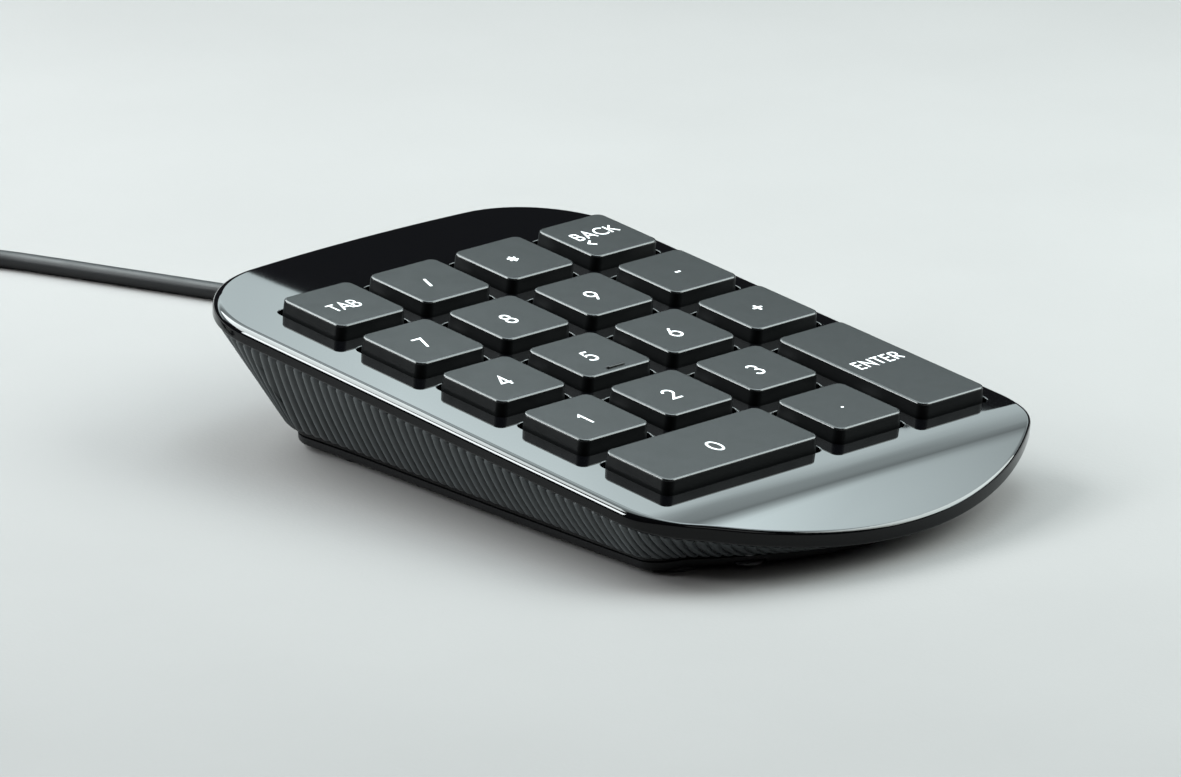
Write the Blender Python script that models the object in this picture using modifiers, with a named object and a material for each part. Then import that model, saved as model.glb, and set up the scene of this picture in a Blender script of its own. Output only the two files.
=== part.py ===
"""A numeric keypad with its cable, built piece by piece.

World axes: +X to the user's right, +Y away from the user, +Z up, desk at Z = 0. The origin is the
centre of the whole object's box in plan, at desk level. The keys, the bezel and the switch stack lie
in a key plane that is tilted up at the back; the empty "key_plane" carries that tilt, and its local
Z = 0 is the plane of the key tops. The lower case, the base cover and the cable are in desk axes.

Sizes are in millimetres and become metres where meshes, modifiers and locations are made.
"""

import math

import bmesh
import bpy
from mathutils import Matrix, Vector

MM = 0.001
QUARTER_TURN = math.pi / 2
SINK = 0.5  # how far most added solids run into the body they join
PAST = 1.0  # how far most cutters run past the face they cut

# ---- placing -------------------------------------------------------------------------------
BODY_AT = (16.7, -51.87)  # desk frame in plan, so that the whole object's box is centred
TILT = math.radians(6.4)  # key plane, back edge high
KEY_PLANE_Z = 19.4  # height of the key tops at the middle row

# ---- case outline, in the key plane ---------------------------------------------------------
HALF_WIDTH = 43.3
BACK_Y, BACK_RADIUS, CORNER_RADIUS = 63.8, 370.0, 20.5
FRONT_Y, FRONT_RADIUS, CHEEK_RADIUS = -68.8, 62.4, 14.0
BACK_STEPS, CORNER_STEPS, SIDE_STEPS, CHEEK_STEPS, FRONT_STEPS = 3, 14, 9, 8, 18

# Headings turn clockwise from +X: the outline starts at 0 and runs down the right side at 90.
CORNER_HEADING = math.asin((HALF_WIDTH - CORNER_RADIUS) / (BACK_RADIUS - CORNER_RADIUS))
CHEEK_TURN = math.acos((HALF_WIDTH - CHEEK_RADIUS) / (FRONT_RADIUS - CHEEK_RADIUS))
CORNER_CENTRE_Y = (
    BACK_Y
    - BACK_RADIUS * (1 - math.cos(CORNER_HEADING))
    - CORNER_RADIUS * math.cos(CORNER_HEADING)
)
CHEEK_CENTRE_Y = (
    FRONT_Y + FRONT_RADIUS * (1 - math.sin(CHEEK_TURN)) + CHEEK_RADIUS * math.sin(CHEEK_TURN)
)

# ---- bezel, in the key plane ----------------------------------------------------------------
BEZEL_TOP = -2.37
BEZEL_THICK, SKIRT_THICK, BEZEL_ROUND = 1.8, 1.8, 1.3
BEZEL_UNDER = BEZEL_TOP - BEZEL_THICK
BAND_BOTTOM = -5.0
LIP_BENDS = (  # where the front lip bends: y, how far it has dropped there
    (-54.0, 0.0), (-55.5, 0.10), (-57.0, 0.38), (-58.5, 0.78),
    (-61.5, 1.50), (-65.0, 2.33), (-69.5, 3.40),
)
BEZEL_BOSS_R = 1.9
BEZEL_RIB_DROP = 1.9
BEZEL_RIBS = (  # x, y, half size in x, half size in y
    (-37.6, 26.0, 0.5, 3.0),
    (-37.6, -26.0, 0.5, 3.0),
    (-20.0, 57.2, 3.0, 0.5),
    (20.0, 57.2, 3.0, 0.5),
    (-13.0, -56.5, 3.0, 0.5),
    (13.0, -56.5, 3.0, 0.5),
)

# ---- lower case, in desk axes ---------------------------------------------------------------
RIM_Z = 2.55
SEAM = 0.3
WALL = 2.2
SIDE_SLOPE, FRONT_UNDERCUT = 0.477, 4.4
RIM_CORNER_X, RIM_CORNER_Y, RIM_CORNER_R = 28.0, 38.0, 7.0
TUCK_START_Y = -20.0  # behind this the side walls tuck in towards the rear rim corners
SEAM_INSET = 0.45  # wall's outer face inside the bezel's band
TONGUE_OUTER, TONGUE_INNER, TONGUE_RISE = 2.15, 3.3, 0.83  # insets, and height above the seam
CASE_BOSS_R, CASE_PILOT_R = 2.6, 1.25

# ---- keys -----------------------------------------------------------------------------------
PITCH = 19.0
KEY_BLOCK_X = 2.6  # the keys sit a little to the right in the bezel
KEY_TOP, KEY_FLARE, KEY_TALL = 14.7, 0.2, 4.4
KEY_ROUND, KEY_CHAMFER, KEY_WALL, KEY_ROOF = 1.25, 0.28, 1.0, 1.3
KEY_TRAVEL = 1.8
HOLE_GAP, HOLE_ROUND = 0.85, 1.9  # bezel hole beyond the key's top edge, its corners
TUBE_OUT, TUBE_IN, TUBE_END = 3.9, 3.2, -5.95
POST_R, POST_END = 1.3, -4.6
POST_SINK = 0.4  # how far posts and legs run into the key's roof
LEG_HALF, LEG_END = 0.7, -3.45
HOMING_BAR = ((-1.9, -6.24, -0.5), (1.9, -5.64, 0.32))  # low and high corners
KEYS = (  # name, column, row, columns wide, rows tall
    ("key_tab", 0, 0, 1, 1),
    ("key_divide", 1, 0, 1, 1),
    ("key_multiply", 2, 0, 1, 1),
    ("key_back", 3, 0, 1, 1),
    ("key_7", 0, 1, 1, 1),
    ("key_8", 1, 1, 1, 1),
    ("key_9", 2, 1, 1, 1),
    ("key_minus", 3, 1, 1, 1),
    ("key_4", 0, 2, 1, 1),
    ("key_5", 1, 2, 1, 1),
    ("key_6", 2, 2, 1, 1),
    ("key_plus", 3, 2, 1, 1),
    ("key_1", 0, 3, 1, 1),
    ("key_2", 1, 3, 1, 1),
    ("key_3", 2, 3, 1, 1),
    ("key_enter", 3, 3, 1, 2),
    ("key_0", 0, 4, 2, 1),
    ("key_decimal", 2, 4, 1, 1),
)
KEY_CENTRES = {
    name: ((column + (wide - 1) / 2 - 1.5) * PITCH, (2 - row - (tall - 1) / 2) * PITCH)
    for name, column, row, wide, tall in KEYS
}

# ---- switch stack, in the key plane ---------------------------------------------------------
STACK_Y, STACK_ROUND = 44.0, 3.0
FRAME_HALF, SHEET_HALF = 34.4, 33.2
FRAME_TOP, FRAME_BOTTOM = -6.6, -7.8
COLLAR_IN, COLLAR_OUT, COLLAR_TOP = 4.2, 5.0, -3.4
SHEET_GAP = 0.2
DOME_SHEET_TOP, DOME_SHEET_BOTTOM = -8.05, -8.45
DOME_TOP, DOME_BASE_R, DOME_TOP_R, DOME_WALL = -4.9, 2.9, 1.5, 0.5
LAYER_THICK = 0.2
LAYER_STEP = LAYER_THICK + SHEET_GAP
TOP_LAYER_Z = DOME_SHEET_BOTTOM - SHEET_GAP  # upper faces of the three membrane layers
SPACER_Z = TOP_LAYER_Z - LAYER_STEP
BOTTOM_LAYER_Z = SPACER_Z - LAYER_STEP
CONTACT_R = 1.8  # spacer hole under each key
PLATE_TOP = BOTTOM_LAYER_Z - LAYER_STEP
PLATE_BOTTOM = PLATE_TOP - 0.6
SHEET_SCREW_HOLE_R, TIGHT_SCREW_HOLE_R = 2.2, 1.2
FRAME_SCREWS = (  # x, y, midway between keys
    (-PITCH, 1.5 * PITCH),
    (PITCH, 1.5 * PITCH),
    (-PITCH, -0.5 * PITCH),
    (PITCH, -0.5 * PITCH),
    (0.0, -1.5 * PITCH),
)
FRAME_SCREW_R = 0.9
TAIL_X = (-15.0, 11.0)  # ribbon's edges, measured from the case's middle
TAIL_THICK = 0.16
TAIL_START_Y = 40.0
TAIL_DROP = (  # y, z in desk axes, over the back and down to the board
    (50.4, 14.3), (51.0, 12.2), (49.4, 9.8), (46.0, 7.8), (42.0, 6.95), (31.0, 6.9),
)

# ---- stabiliser wires of the two long keys --------------------------------------------------
WIRE_R = 0.45
WIRE_OFFSET, WIRE_Z, WIRE_HALF, WIRE_ARM, WIRE_TIP = 5.7, -5.9, 13.0, 5.4, 1.6
WIRE_REACH = math.sqrt(WIRE_ARM**2 - KEY_TRAVEL**2)  # the arms rise by the key's travel
WIRE_TIP_Y = WIRE_REACH - WIRE_OFFSET
LEG_AT = WIRE_HALF - WIRE_TIP + 0.3
WIRE_HOOK_AT = 8.6  # hooks along the wire, either side of the key's middle
WIRE_HOOK_BOXES = (  # low and high corners, for a wire along X: an upright, an arm over the wire
    ((-1.0, -5.0, FRAME_TOP - SINK), (1.0, -3.9, -4.6)),
    ((-0.9, -6.1, -5.2), (0.9, -4.4, -4.7)),
)

# ---- base, feet and screws, in desk axes ----------------------------------------------------
COVER_BOTTOM, COVER_TOP = 0.8, 2.3
COVER_INSET = 1.0
COVER_EDGE_RISE = 0.5
COVER_TAPER = (0.99, 0.993)  # underside's scale in x and y
FEET = (  # name, x, y
    ("foot_rear_left", -28.0, 30.0),
    ("foot_rear_right", 28.0, 30.0),
    ("foot_front_left", -31.0, -44.0),
    ("foot_front_right", 31.0, -44.0),
)
FOOT_R = 4.5
BASE_SCREWS = (  # name, x, y, z of the tip
    ("base_screw_rear_left", -28.0, 39.5, 9.0),
    ("base_screw_rear_right", 28.0, 39.5, 9.0),
    ("base_screw_front_left", -24.0, -53.6, 6.6),
    ("base_screw_front_right", 24.0, -53.6, 6.6),
)
BASE_SCREW_CENTRES = [(x, y) for _, x, y, _ in BASE_SCREWS]

# ---- electronics, in desk axes: low and high corners of each box ----------------------------
BOARD_LOW, BOARD_HIGH = (-22.0, 14.0, 5.0), (29.0, 36.6, 6.6)
CLAMP_LOW, CLAMP_HIGH = (-20.0, 31.5, 7.2), (16.0, 36.5, 9.4)
CLAMP_SCREW_INSET = 2.5
CLAMP_SCREW_Y = (CLAMP_LOW[1] + CLAMP_HIGH[1]) / 2
CLAMP_SCREWS = (  # name, x
    ("clamp_screw_left", CLAMP_LOW[0] + CLAMP_SCREW_INSET),
    ("clamp_screw_right", CLAMP_HIGH[0] - CLAMP_SCREW_INSET),
)
CLAMP_SCREW_CENTRES = [(x, CLAMP_SCREW_Y) for _, x in CLAMP_SCREWS]
PART_Z = BOARD_HIGH[2] + 0.25  # underside of the parts on the board

# ---- cable and plug, in desk axes -----------------------------------------------------------
CABLE_R = 1.5
CABLE_EXIT_X, CABLE_EXIT_Z = 22.0, 8.8
CABLE_INSIDE_Y = (22.6, 58.0)  # ends of the straight run inside the case
CABLE_BEND = (  # x, y, z
    (CABLE_EXIT_X, 70.5, CABLE_EXIT_Z),
    (21.8, 77.5, 8.0),
    (21.0, 86.0, 5.0),
    (19.0, 94.5, 2.3),
    (16.2, 102.0, 1.58),
    (12.7, 111.0, 1.58),
    (9.0, 122.0, 1.58),
    (5.4, 132.6, 1.58),
    (1.7, 143.5, 1.58),
    (-2.2, 153.6, 1.58),
    (-8.3, 162.7, 1.58),
    (-17.5, 168.6, 1.58),
    (-28.2, 169.6, 1.65),
    (-37.6, 165.2, 2.1),
    (-42.8, 156.6, 3.1),
    (-46.0, 149.4, 3.9),
)
PLUG_HEADING = math.radians(150.0)  # from +Y, anticlockwise: the plug points at the front left
PLUG_AT = (-49.0, 144.2, 4.0)  # cable end of the plug's grip
# The plug's own frame has +Y towards its mouth. Sizes are x, y, z; the shell's y is what shows.
GRIP_X, GRIP_Y, GRIP_Z = 16.0, 26.0, 8.0
GRIP_TAPER_X, GRIP_TAPER_Z = 0.72, 0.85  # scale of the cable end
SHELL_X, SHELL_Y, SHELL_Z = 12.0, 19.0, 4.5
SHELL_SHEET, SHELL_SINK, SHELL_GAP = 0.35, 5.0, 0.25
WINDOW_X, WINDOW_HALF, WINDOW_Y = 2.9, 1.0, (8.0, 10.2)  # WINDOW_Y is measured from the grip


# ============================================================================================
# Scene, frames and materials
for old in list(bpy.data.objects):
    bpy.data.objects.remove(old, do_unlink=True)

scene = bpy.context.scene
parts = bpy.data.collections.new("numeric_keypad")
helpers = bpy.data.collections.new("cutters")
scene.collection.children.link(parts)
scene.collection.children.link(helpers)


def empty(name, at, turn=(0, 0, 0), parent=None):
    obj = bpy.data.objects.new(name, None)
    obj.empty_display_size = 10 * MM
    obj.location = Vector(at) * MM
    obj.rotation_euler = turn
    obj.parent = parent
    parts.objects.link(obj)
    return obj


desk = empty("desk_frame", (*BODY_AT, 0))
key_plane = empty("key_plane", (0, 0, KEY_PLANE_Z), (TILT, 0, 0), desk)
key_block = empty("key_block", (KEY_BLOCK_X, 0, 0), parent=key_plane)


def material(name, colour, roughness, metallic=0.0, coat=0.0):
    mat = bpy.data.materials.new(name)
    mat.use_nodes = True
    shader = mat.node_tree.nodes["Principled BSDF"]
    shader.inputs["Base Color"].default_value = (*colour, 1)
    shader.inputs["Roughness"].default_value = roughness
    shader.inputs["Metallic"].default_value = metallic
    shader.inputs["Coat Weight"].default_value = coat
    return mat


GLOSS = material("gloss_black", colour=(0.006, 0.006, 0.007), roughness=0.06, coat=0.6)
SATIN = material("satin_grey", colour=(0.060, 0.064, 0.066), roughness=0.42)
BASE = material("base_black", colour=(0.012, 0.012, 0.013), roughness=0.55)
KEY = material("key_grey", colour=(0.055, 0.060, 0.062), roughness=0.52)
RUBBER = material("rubber_black", colour=(0.015, 0.015, 0.015), roughness=0.85)
SILICONE = material("silicone_grey", colour=(0.45, 0.46, 0.47), roughness=0.6)
FILM = material("film_clear", colour=(0.62, 0.66, 0.62), roughness=0.3)
SPACER_FILM = material("film_spacer", colour=(0.70, 0.70, 0.68), roughness=0.5)
STEEL = material("zinc_steel", colour=(0.55, 0.56, 0.57), roughness=0.35, metallic=1.0)
SCREW_STEEL = material("screw_steel", colour=(0.35, 0.35, 0.36), roughness=0.4, metallic=1.0)
LAMINATE = material("board_green", colour=(0.02, 0.16, 0.06), roughness=0.45)
RESIN = material("chip_black", colour=(0.02, 0.02, 0.02), roughness=0.5)
NYLON = material("nylon_white", colour=(0.75, 0.74, 0.70), roughness=0.5)
SLEEVE = material("cable_black", colour=(0.014, 0.014, 0.015), roughness=0.45)
NICKEL = material("plug_nickel", colour=(0.70, 0.70, 0.69), roughness=0.25, metallic=1.0)


# ============================================================================================
# Objects. A "shape" is a bmesh under construction; making an object from it uses it up.
def mesh_of(shape, name):
    bmesh.ops.recalc_face_normals(shape, faces=shape.faces[:])
    mesh = bpy.data.meshes.new(name)
    shape.to_mesh(mesh)
    shape.free()
    return mesh


def place(obj, mat, parent, at=(0, 0, 0), turn=(0, 0, 0)):
    if not obj.data.materials:  # keys share their meshes
        obj.data.materials.append(mat)
    obj.location = Vector(at) * MM
    obj.rotation_euler = turn
    obj.parent = parent
    parts.objects.link(obj)
    return obj


def piece(name, shape, mat, parent):
    return place(bpy.data.objects.new(name, mesh_of(shape, name)), mat, parent)


def helper(name, shape, parent=None, at=(0, 0, 0), turn=(0, 0, 0)):
    obj = bpy.data.objects.new(name, mesh_of(shape, name))
    obj.location = Vector(at) * MM
    obj.rotation_euler = turn
    obj.parent = parent
    obj.hide_render = True
    obj.display_type = "WIRE"
    helpers.objects.link(obj)
    return obj


def boolean(obj, other, operation, overlapping=False):
    mod = obj.modifiers.new(operation.lower(), "BOOLEAN")
    mod.operation = operation
    mod.solver = "EXACT"
    mod.use_self = overlapping
    mod.object = other


def unite(obj, name, shape, parent=None, overlapping=False):
    boolean(obj, helper(name, shape, parent), "UNION", overlapping)


def cut(obj, name, shape, parent=None, at=(0, 0, 0), turn=(0, 0, 0)):
    boolean(obj, helper(name, shape, parent, at, turn), "DIFFERENCE")


def smooth(mesh, degrees=35):
    mesh.shade_smooth()
    mesh.set_sharp_from_angle(angle=math.radians(degrees))


def applied_mesh(obj, name):
    """The object's mesh with its modifiers applied, as new mesh data."""
    bpy.context.view_layer.update()
    graph = bpy.context.evaluated_depsgraph_get()
    mesh = bpy.data.meshes.new_from_object(obj.evaluated_get(graph))
    mesh.name = name
    return mesh


# ============================================================================================
# Shapes
def add_box(shape, low, high):
    low, high = Vector(low) * MM, Vector(high) * MM
    matrix = Matrix.Translation((low + high) / 2) @ Matrix.Diagonal((*(high - low), 1))
    return bmesh.ops.create_cube(shape, size=1, matrix=matrix)["verts"]


def add_cylinder(shape, x, y, bottom, top, radius, top_radius=None, segments=12):
    bmesh.ops.create_cone(
        shape,
        cap_ends=True,
        segments=segments,
        radius1=radius * MM,
        radius2=(radius if top_radius is None else top_radius) * MM,
        depth=(top - bottom) * MM,
        matrix=Matrix.Translation(Vector((x, y, (bottom + top) / 2)) * MM),
    )


def add_cylinders(shape, centres, *sizes, segments=12):
    for x, y in centres:
        add_cylinder(shape, x, y, *sizes, segments=segments)


def round_edges(shape, edges, radius):
    bmesh.ops.bevel(
        shape,
        geom=edges,
        offset=radius * MM,
        offset_type="OFFSET",
        segments=2,
        profile=0.5,
        affect="EDGES",
    )


def chamfer(shape, edges, width):
    bmesh.ops.bevel(
        shape, geom=edges, offset=width * MM, offset_type="OFFSET", segments=1, affect="EDGES"
    )


def round_upright_edges(shape, verts, radius):
    """Round the edges between these verts that run up, or nearly up as on a flared key."""
    lean = 0.4 * MM
    inside = set(verts)
    upright = []
    for edge in shape.edges:
        start, end = edge.verts
        run = start.co - end.co
        if start in inside and end in inside and abs(run.x) < lean and abs(run.y) < lean:
            upright.append(edge)
    round_edges(shape, upright, radius)


def add_rounded_box(shape, low, high, radius):
    round_upright_edges(shape, add_box(shape, low, high), radius)


def loft(shape, rings, closed=False):
    """Faces between rings of equal length. The ends are capped, or joined when closed."""
    made = [[shape.verts.new(Vector(point) * MM) for point in ring] for ring in rings]
    pairs = list(zip(made, made[1:]))
    if closed:
        pairs.append((made[-1], made[0]))
    for low, high in pairs:
        for i in range(len(low)):
            j = (i + 1) % len(low)
            shape.faces.new((low[i], low[j], high[j], high[i]))
    if not closed:
        shape.faces.new(made[0])
        shape.faces.new(made[-1])


def turned(name, profile, segments):
    """A solid of revolution about local Z. The profile is (radius, z) points.

    It is open when it starts on the axis, and closed on itself otherwise.
    """
    shape = bmesh.new()
    verts = [shape.verts.new((radius * MM, 0, z * MM)) for radius, z in profile]
    closed = profile[0][0] > 0
    for pair in zip(verts, verts[1:] + (verts[:1] if closed else [])):
        shape.edges.new(pair)
    obj = bpy.data.objects.new(name, mesh_of(shape, name))
    mod = obj.modifiers.new("turn", "SCREW")
    mod.axis = "Z"
    mod.angle = 2 * math.pi
    mod.steps = segments
    mod.render_steps = segments
    mod.use_merge_vertices = True
    mod.merge_threshold = 1e-6
    mod.use_smooth_shade = True
    return obj


# ============================================================================================
# Case outline
def case_outline():
    """The case's outline as [((x, y), (normal x, normal y))], clockwise from the back's middle.

    Each half is one large back arc, a corner arc, a straight side, a cheek arc and half of the
    front arc, every one tangent to the next.
    """
    cheek_end = QUARTER_TURN + CHEEK_TURN
    runs = (  # radius (None for the straight side), start heading, end heading, steps
        (BACK_RADIUS, 0, CORNER_HEADING, BACK_STEPS),
        (CORNER_RADIUS, CORNER_HEADING, QUARTER_TURN, CORNER_STEPS),
        (None, QUARTER_TURN, QUARTER_TURN, SIDE_STEPS),
        (CHEEK_RADIUS, QUARTER_TURN, cheek_end, CHEEK_STEPS),
        (FRONT_RADIUS, cheek_end, math.pi, FRONT_STEPS),
    )
    side_length = CORNER_CENTRE_Y - CHEEK_CENTRE_Y
    x, y = 0.0, BACK_Y
    half = [((x, y), (0.0, 1.0))]
    for radius, start, end, steps in runs:
        for i in range(1, steps + 1):
            heading = start + (end - start) * i / steps
            if radius is None:
                point = (x, y - side_length * i / steps)
            else:
                point = (
                    x + radius * (math.sin(heading) - math.sin(start)),
                    y - radius * (math.cos(start) - math.cos(heading)),
                )
            half.append((point, (math.sin(heading), math.cos(heading))))
        x, y = point
    mirrored = [((-point[0], point[1]), (-normal[0], normal[1])) for point, normal in half[-2:0:-1]]
    return half + mirrored


OUTLINE = case_outline()


def inset(point, normal, by):
    return point[0] - normal[0] * by, point[1] - normal[1] * by


def lip_drop(y):
    """How far the front lip has dropped at this y, straight between the bend lines."""
    if y >= LIP_BENDS[0][0]:
        return 0.0
    for (y_back, drop_back), (y_front, drop_front) in zip(LIP_BENDS, LIP_BENDS[1:]):
        if y >= y_front:
            return drop_back + (drop_front - drop_back) * (y - y_back) / (y_front - y_back)
    return LIP_BENDS[-1][1]


def to_desk(x, y, z):
    """From the key plane to desk axes."""
    cos, sin = math.cos(TILT), math.sin(TILT)
    return x, y * cos - z * sin, y * sin + z * cos + KEY_PLANE_Z


def to_key_plane(y, z):
    """From desk axes to the key plane."""
    cos, sin = math.cos(TILT), math.sin(TILT)
    z -= KEY_PLANE_Z
    return y * cos + z * sin, -y * sin + z * cos


def key_half_size(wide, tall):
    return (KEY_TOP + (wide - 1) * PITCH) / 2, (KEY_TOP + (tall - 1) * PITCH) / 2


# ============================================================================================
# Top bezel: a shallow tray with a drooping front lip and one hole a key
def bezel_shell():
    sections = []  # inset, z: over the rounded edge, down the band and up inside the skirt
    for degrees in (0, 30, 60, 90):
        turn = math.radians(degrees)
        sections.append(
            (BEZEL_ROUND * (1 - math.sin(turn)), BEZEL_TOP - BEZEL_ROUND * (1 - math.cos(turn)))
        )
    sections += [(0.0, BAND_BOTTOM), (SKIRT_THICK, BAND_BOTTOM), (SKIRT_THICK, BEZEL_UNDER)]
    shape = bmesh.new()
    loft(shape, [[(*inset(*place_on, by), z) for place_on in OUTLINE] for by, z in sections])
    for y, _ in LIP_BENDS[:-1]:
        bmesh.ops.bisect_plane(
            shape,
            geom=shape.verts[:] + shape.edges[:] + shape.faces[:],
            plane_co=(0, y * MM, 0),
            plane_no=(0, 1, 0),
            dist=1e-7,
        )
    for vert in shape.verts:
        vert.co.z -= lip_drop(vert.co.y / MM) * MM
    return piece("top_bezel", shape, GLOSS, key_plane)


def top_bezel():
    obj = bezel_shell()
    screws = [(KEY_BLOCK_X + x, y) for x, y in FRAME_SCREWS]

    bosses = bmesh.new()
    add_cylinders(
        bosses, screws, FRAME_TOP + 0.3, BEZEL_UNDER + SINK, BEZEL_BOSS_R, segments=10
    )
    for x, y, half_x, half_y in BEZEL_RIBS:
        root = BEZEL_UNDER - lip_drop(y)
        add_box(
            bosses,
            (x - half_x, y - half_y, root - BEZEL_RIB_DROP),
            (x + half_x, y + half_y, root + SINK),
        )
    unite(obj, "bezel_bosses", bosses, key_plane)

    holes = bmesh.new()
    for name, _, _, wide, tall in KEYS:
        x, y = KEY_CENTRES[name]
        x += KEY_BLOCK_X
        half_x, half_y = (half + HOLE_GAP for half in key_half_size(wide, tall))
        low = (x - half_x, y - half_y, -6.0)
        add_rounded_box(holes, low, (x + half_x, y + half_y, 0.0), HOLE_ROUND)
    cut(obj, "bezel_key_holes", holes, key_plane)

    pilots = bmesh.new()
    add_cylinders(
        pilots, screws, FRAME_TOP - PAST, BEZEL_UNDER + 0.9, FRAME_SCREW_R + 0.15, segments=8
    )
    cut(obj, "bezel_pilots", pilots, key_plane)
    smooth(obj.data)


# ============================================================================================
# Lower case: sloping walls between the tilted seam and the level rim
def rear_rim_at(side, heading, x):
    """The rim behind the corner centres: a bowed back edge between two small corner arcs."""
    if heading > CORNER_HEADING + 1e-6:
        return (
            side * (RIM_CORNER_X + RIM_CORNER_R * math.sin(heading)),
            RIM_CORNER_Y + RIM_CORNER_R * math.cos(heading),
        )
    share = abs(x) / (BACK_RADIUS * math.sin(CORNER_HEADING))
    bow = RIM_CORNER_X**2 / (2 * BACK_RADIUS) * (1 - share * share)
    return (
        side * share * (RIM_CORNER_X + RIM_CORNER_R * math.sin(CORNER_HEADING)),
        RIM_CORNER_Y + RIM_CORNER_R * math.cos(CORNER_HEADING) + bow,
    )


def rim_at(point, normal, top):
    """Where the wall under this outline point meets the rim.

    The rear corners tuck in more than the sides.
    """
    side = 1 if point[0] >= 0 else -1
    if normal[1] > 0.002:
        return rear_rim_at(side, math.acos(min(1.0, normal[1])), point[0])
    front = max(0.0, -normal[1])
    front = front * front * (3 - 2 * front)
    x, y = inset(top[:2], normal, (top[2] - RIM_Z) * SIDE_SLOPE + FRONT_UNDERCUT * front)
    tuck = (point[1] - TUCK_START_Y) / (CORNER_CENTRE_Y - TUCK_START_Y)
    tuck = max(0.0, min(1.0, tuck))
    x = side * (abs(x) + (RIM_CORNER_X + RIM_CORNER_R - abs(x)) * tuck**3)
    return x, y - (CORNER_CENTRE_Y - RIM_CORNER_Y) * tuck


def wall_rings():
    """Rings round the wall: outer top, outer bottom, inner bottom, inner top, tongue top and
    tongue foot."""

    def under_bezel(point, normal, by, rise=0.0):
        x, y = inset(point, normal, by)
        return to_desk(x, y, BAND_BOTTOM - SEAM + rise - lip_drop(y))

    sections = []
    for point, normal in OUTLINE:
        top = under_bezel(point, normal, SEAM_INSET)
        rim = rim_at(point, normal, top)
        sections.append(
            (
                top,
                (*rim, RIM_Z),
                (*inset(rim, normal, WALL), RIM_Z),
                under_bezel(point, normal, TONGUE_INNER, TONGUE_RISE),
                under_bezel(point, normal, TONGUE_OUTER, TONGUE_RISE),
                under_bezel(point, normal, TONGUE_OUTER),
            )
        )
    return list(zip(*sections))


WALL_RINGS = wall_rings()


def lower_case():
    top_ring, bottom_ring = WALL_RINGS[:2]
    middle_ring = [
        tuple(a + (b - a) * 0.5 for a, b in zip(top, bottom))
        for top, bottom in zip(top_ring, bottom_ring)
    ]
    shape = bmesh.new()
    loft(shape, [top_ring, middle_ring, *WALL_RINGS[1:]], closed=True)
    obj = piece("lower_case", shape, SATIN, desk)

    bosses = bmesh.new()
    for _, x, y, tip in BASE_SCREWS:
        add_cylinder(bosses, x, y, RIM_Z + 0.3, tip + 0.9, CASE_BOSS_R)
        if y > 0:  # a rib ties the boss to the rear wall
            add_box(bosses, (x - 0.8, y + 2.0, 6.5), (x + 0.8, y + 8.6, 9.5))
    unite(obj, "case_bosses", bosses, desk, overlapping=True)

    pilots = bmesh.new()
    for _, x, y, tip in BASE_SCREWS:
        add_cylinder(pilots, x, y, RIM_Z - PAST, tip + 0.2, CASE_PILOT_R, segments=8)
    cut(obj, "case_pilots", pilots, desk)

    hole = bmesh.new()
    add_cylinder(hole, 0, 0, -12, 12, 3.5, segments=14)
    hole_at = (CABLE_EXIT_X, 56.0, CABLE_EXIT_Z)
    cut(obj, "case_cable_hole", hole, desk, hole_at, (QUARTER_TURN, 0, 0))
    smooth(obj.data)


def base_cover():
    rim = [
        inset(point[:2], normal, COVER_INSET)
        for point, (_, normal) in zip(WALL_RINGS[1], OUTLINE)
    ][::2]
    taper_x, taper_y = COVER_TAPER
    shape = bmesh.new()
    loft(
        shape,
        [
            [(x * taper_x, y * taper_y, COVER_BOTTOM) for x, y in rim],
            [(x, y, COVER_BOTTOM + COVER_EDGE_RISE) for x, y in rim],
            [(x, y, COVER_TOP) for x, y in rim],
        ],
    )
    obj = piece("base_cover", shape, BASE, desk)
    below = COVER_BOTTOM - PAST

    posts = bmesh.new()
    post_top = BOARD_LOW[2] - 0.3
    add_cylinders(posts, CLAMP_SCREW_CENTRES, COVER_TOP - SINK, post_top, 2.4, segments=10)
    unite(obj, "cover_posts", posts, desk)

    holes = bmesh.new()
    add_cylinders(holes, BASE_SCREW_CENTRES, below, COVER_TOP + PAST, 1.35, segments=8)
    add_cylinders(holes, CLAMP_SCREW_CENTRES, 1.6, 6.0, 1.15, segments=8)
    cut(obj, "cover_holes", holes, desk)

    recesses = bmesh.new()
    add_cylinders(recesses, BASE_SCREW_CENTRES, below, COVER_BOTTOM + 0.9, 2.7)
    for _, x, y in FEET:
        add_cylinder(recesses, x, y, below, COVER_BOTTOM + 0.6, FOOT_R + 0.25, segments=16)
    cut(obj, "cover_recesses", recesses, desk)
    smooth(obj.data)


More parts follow.
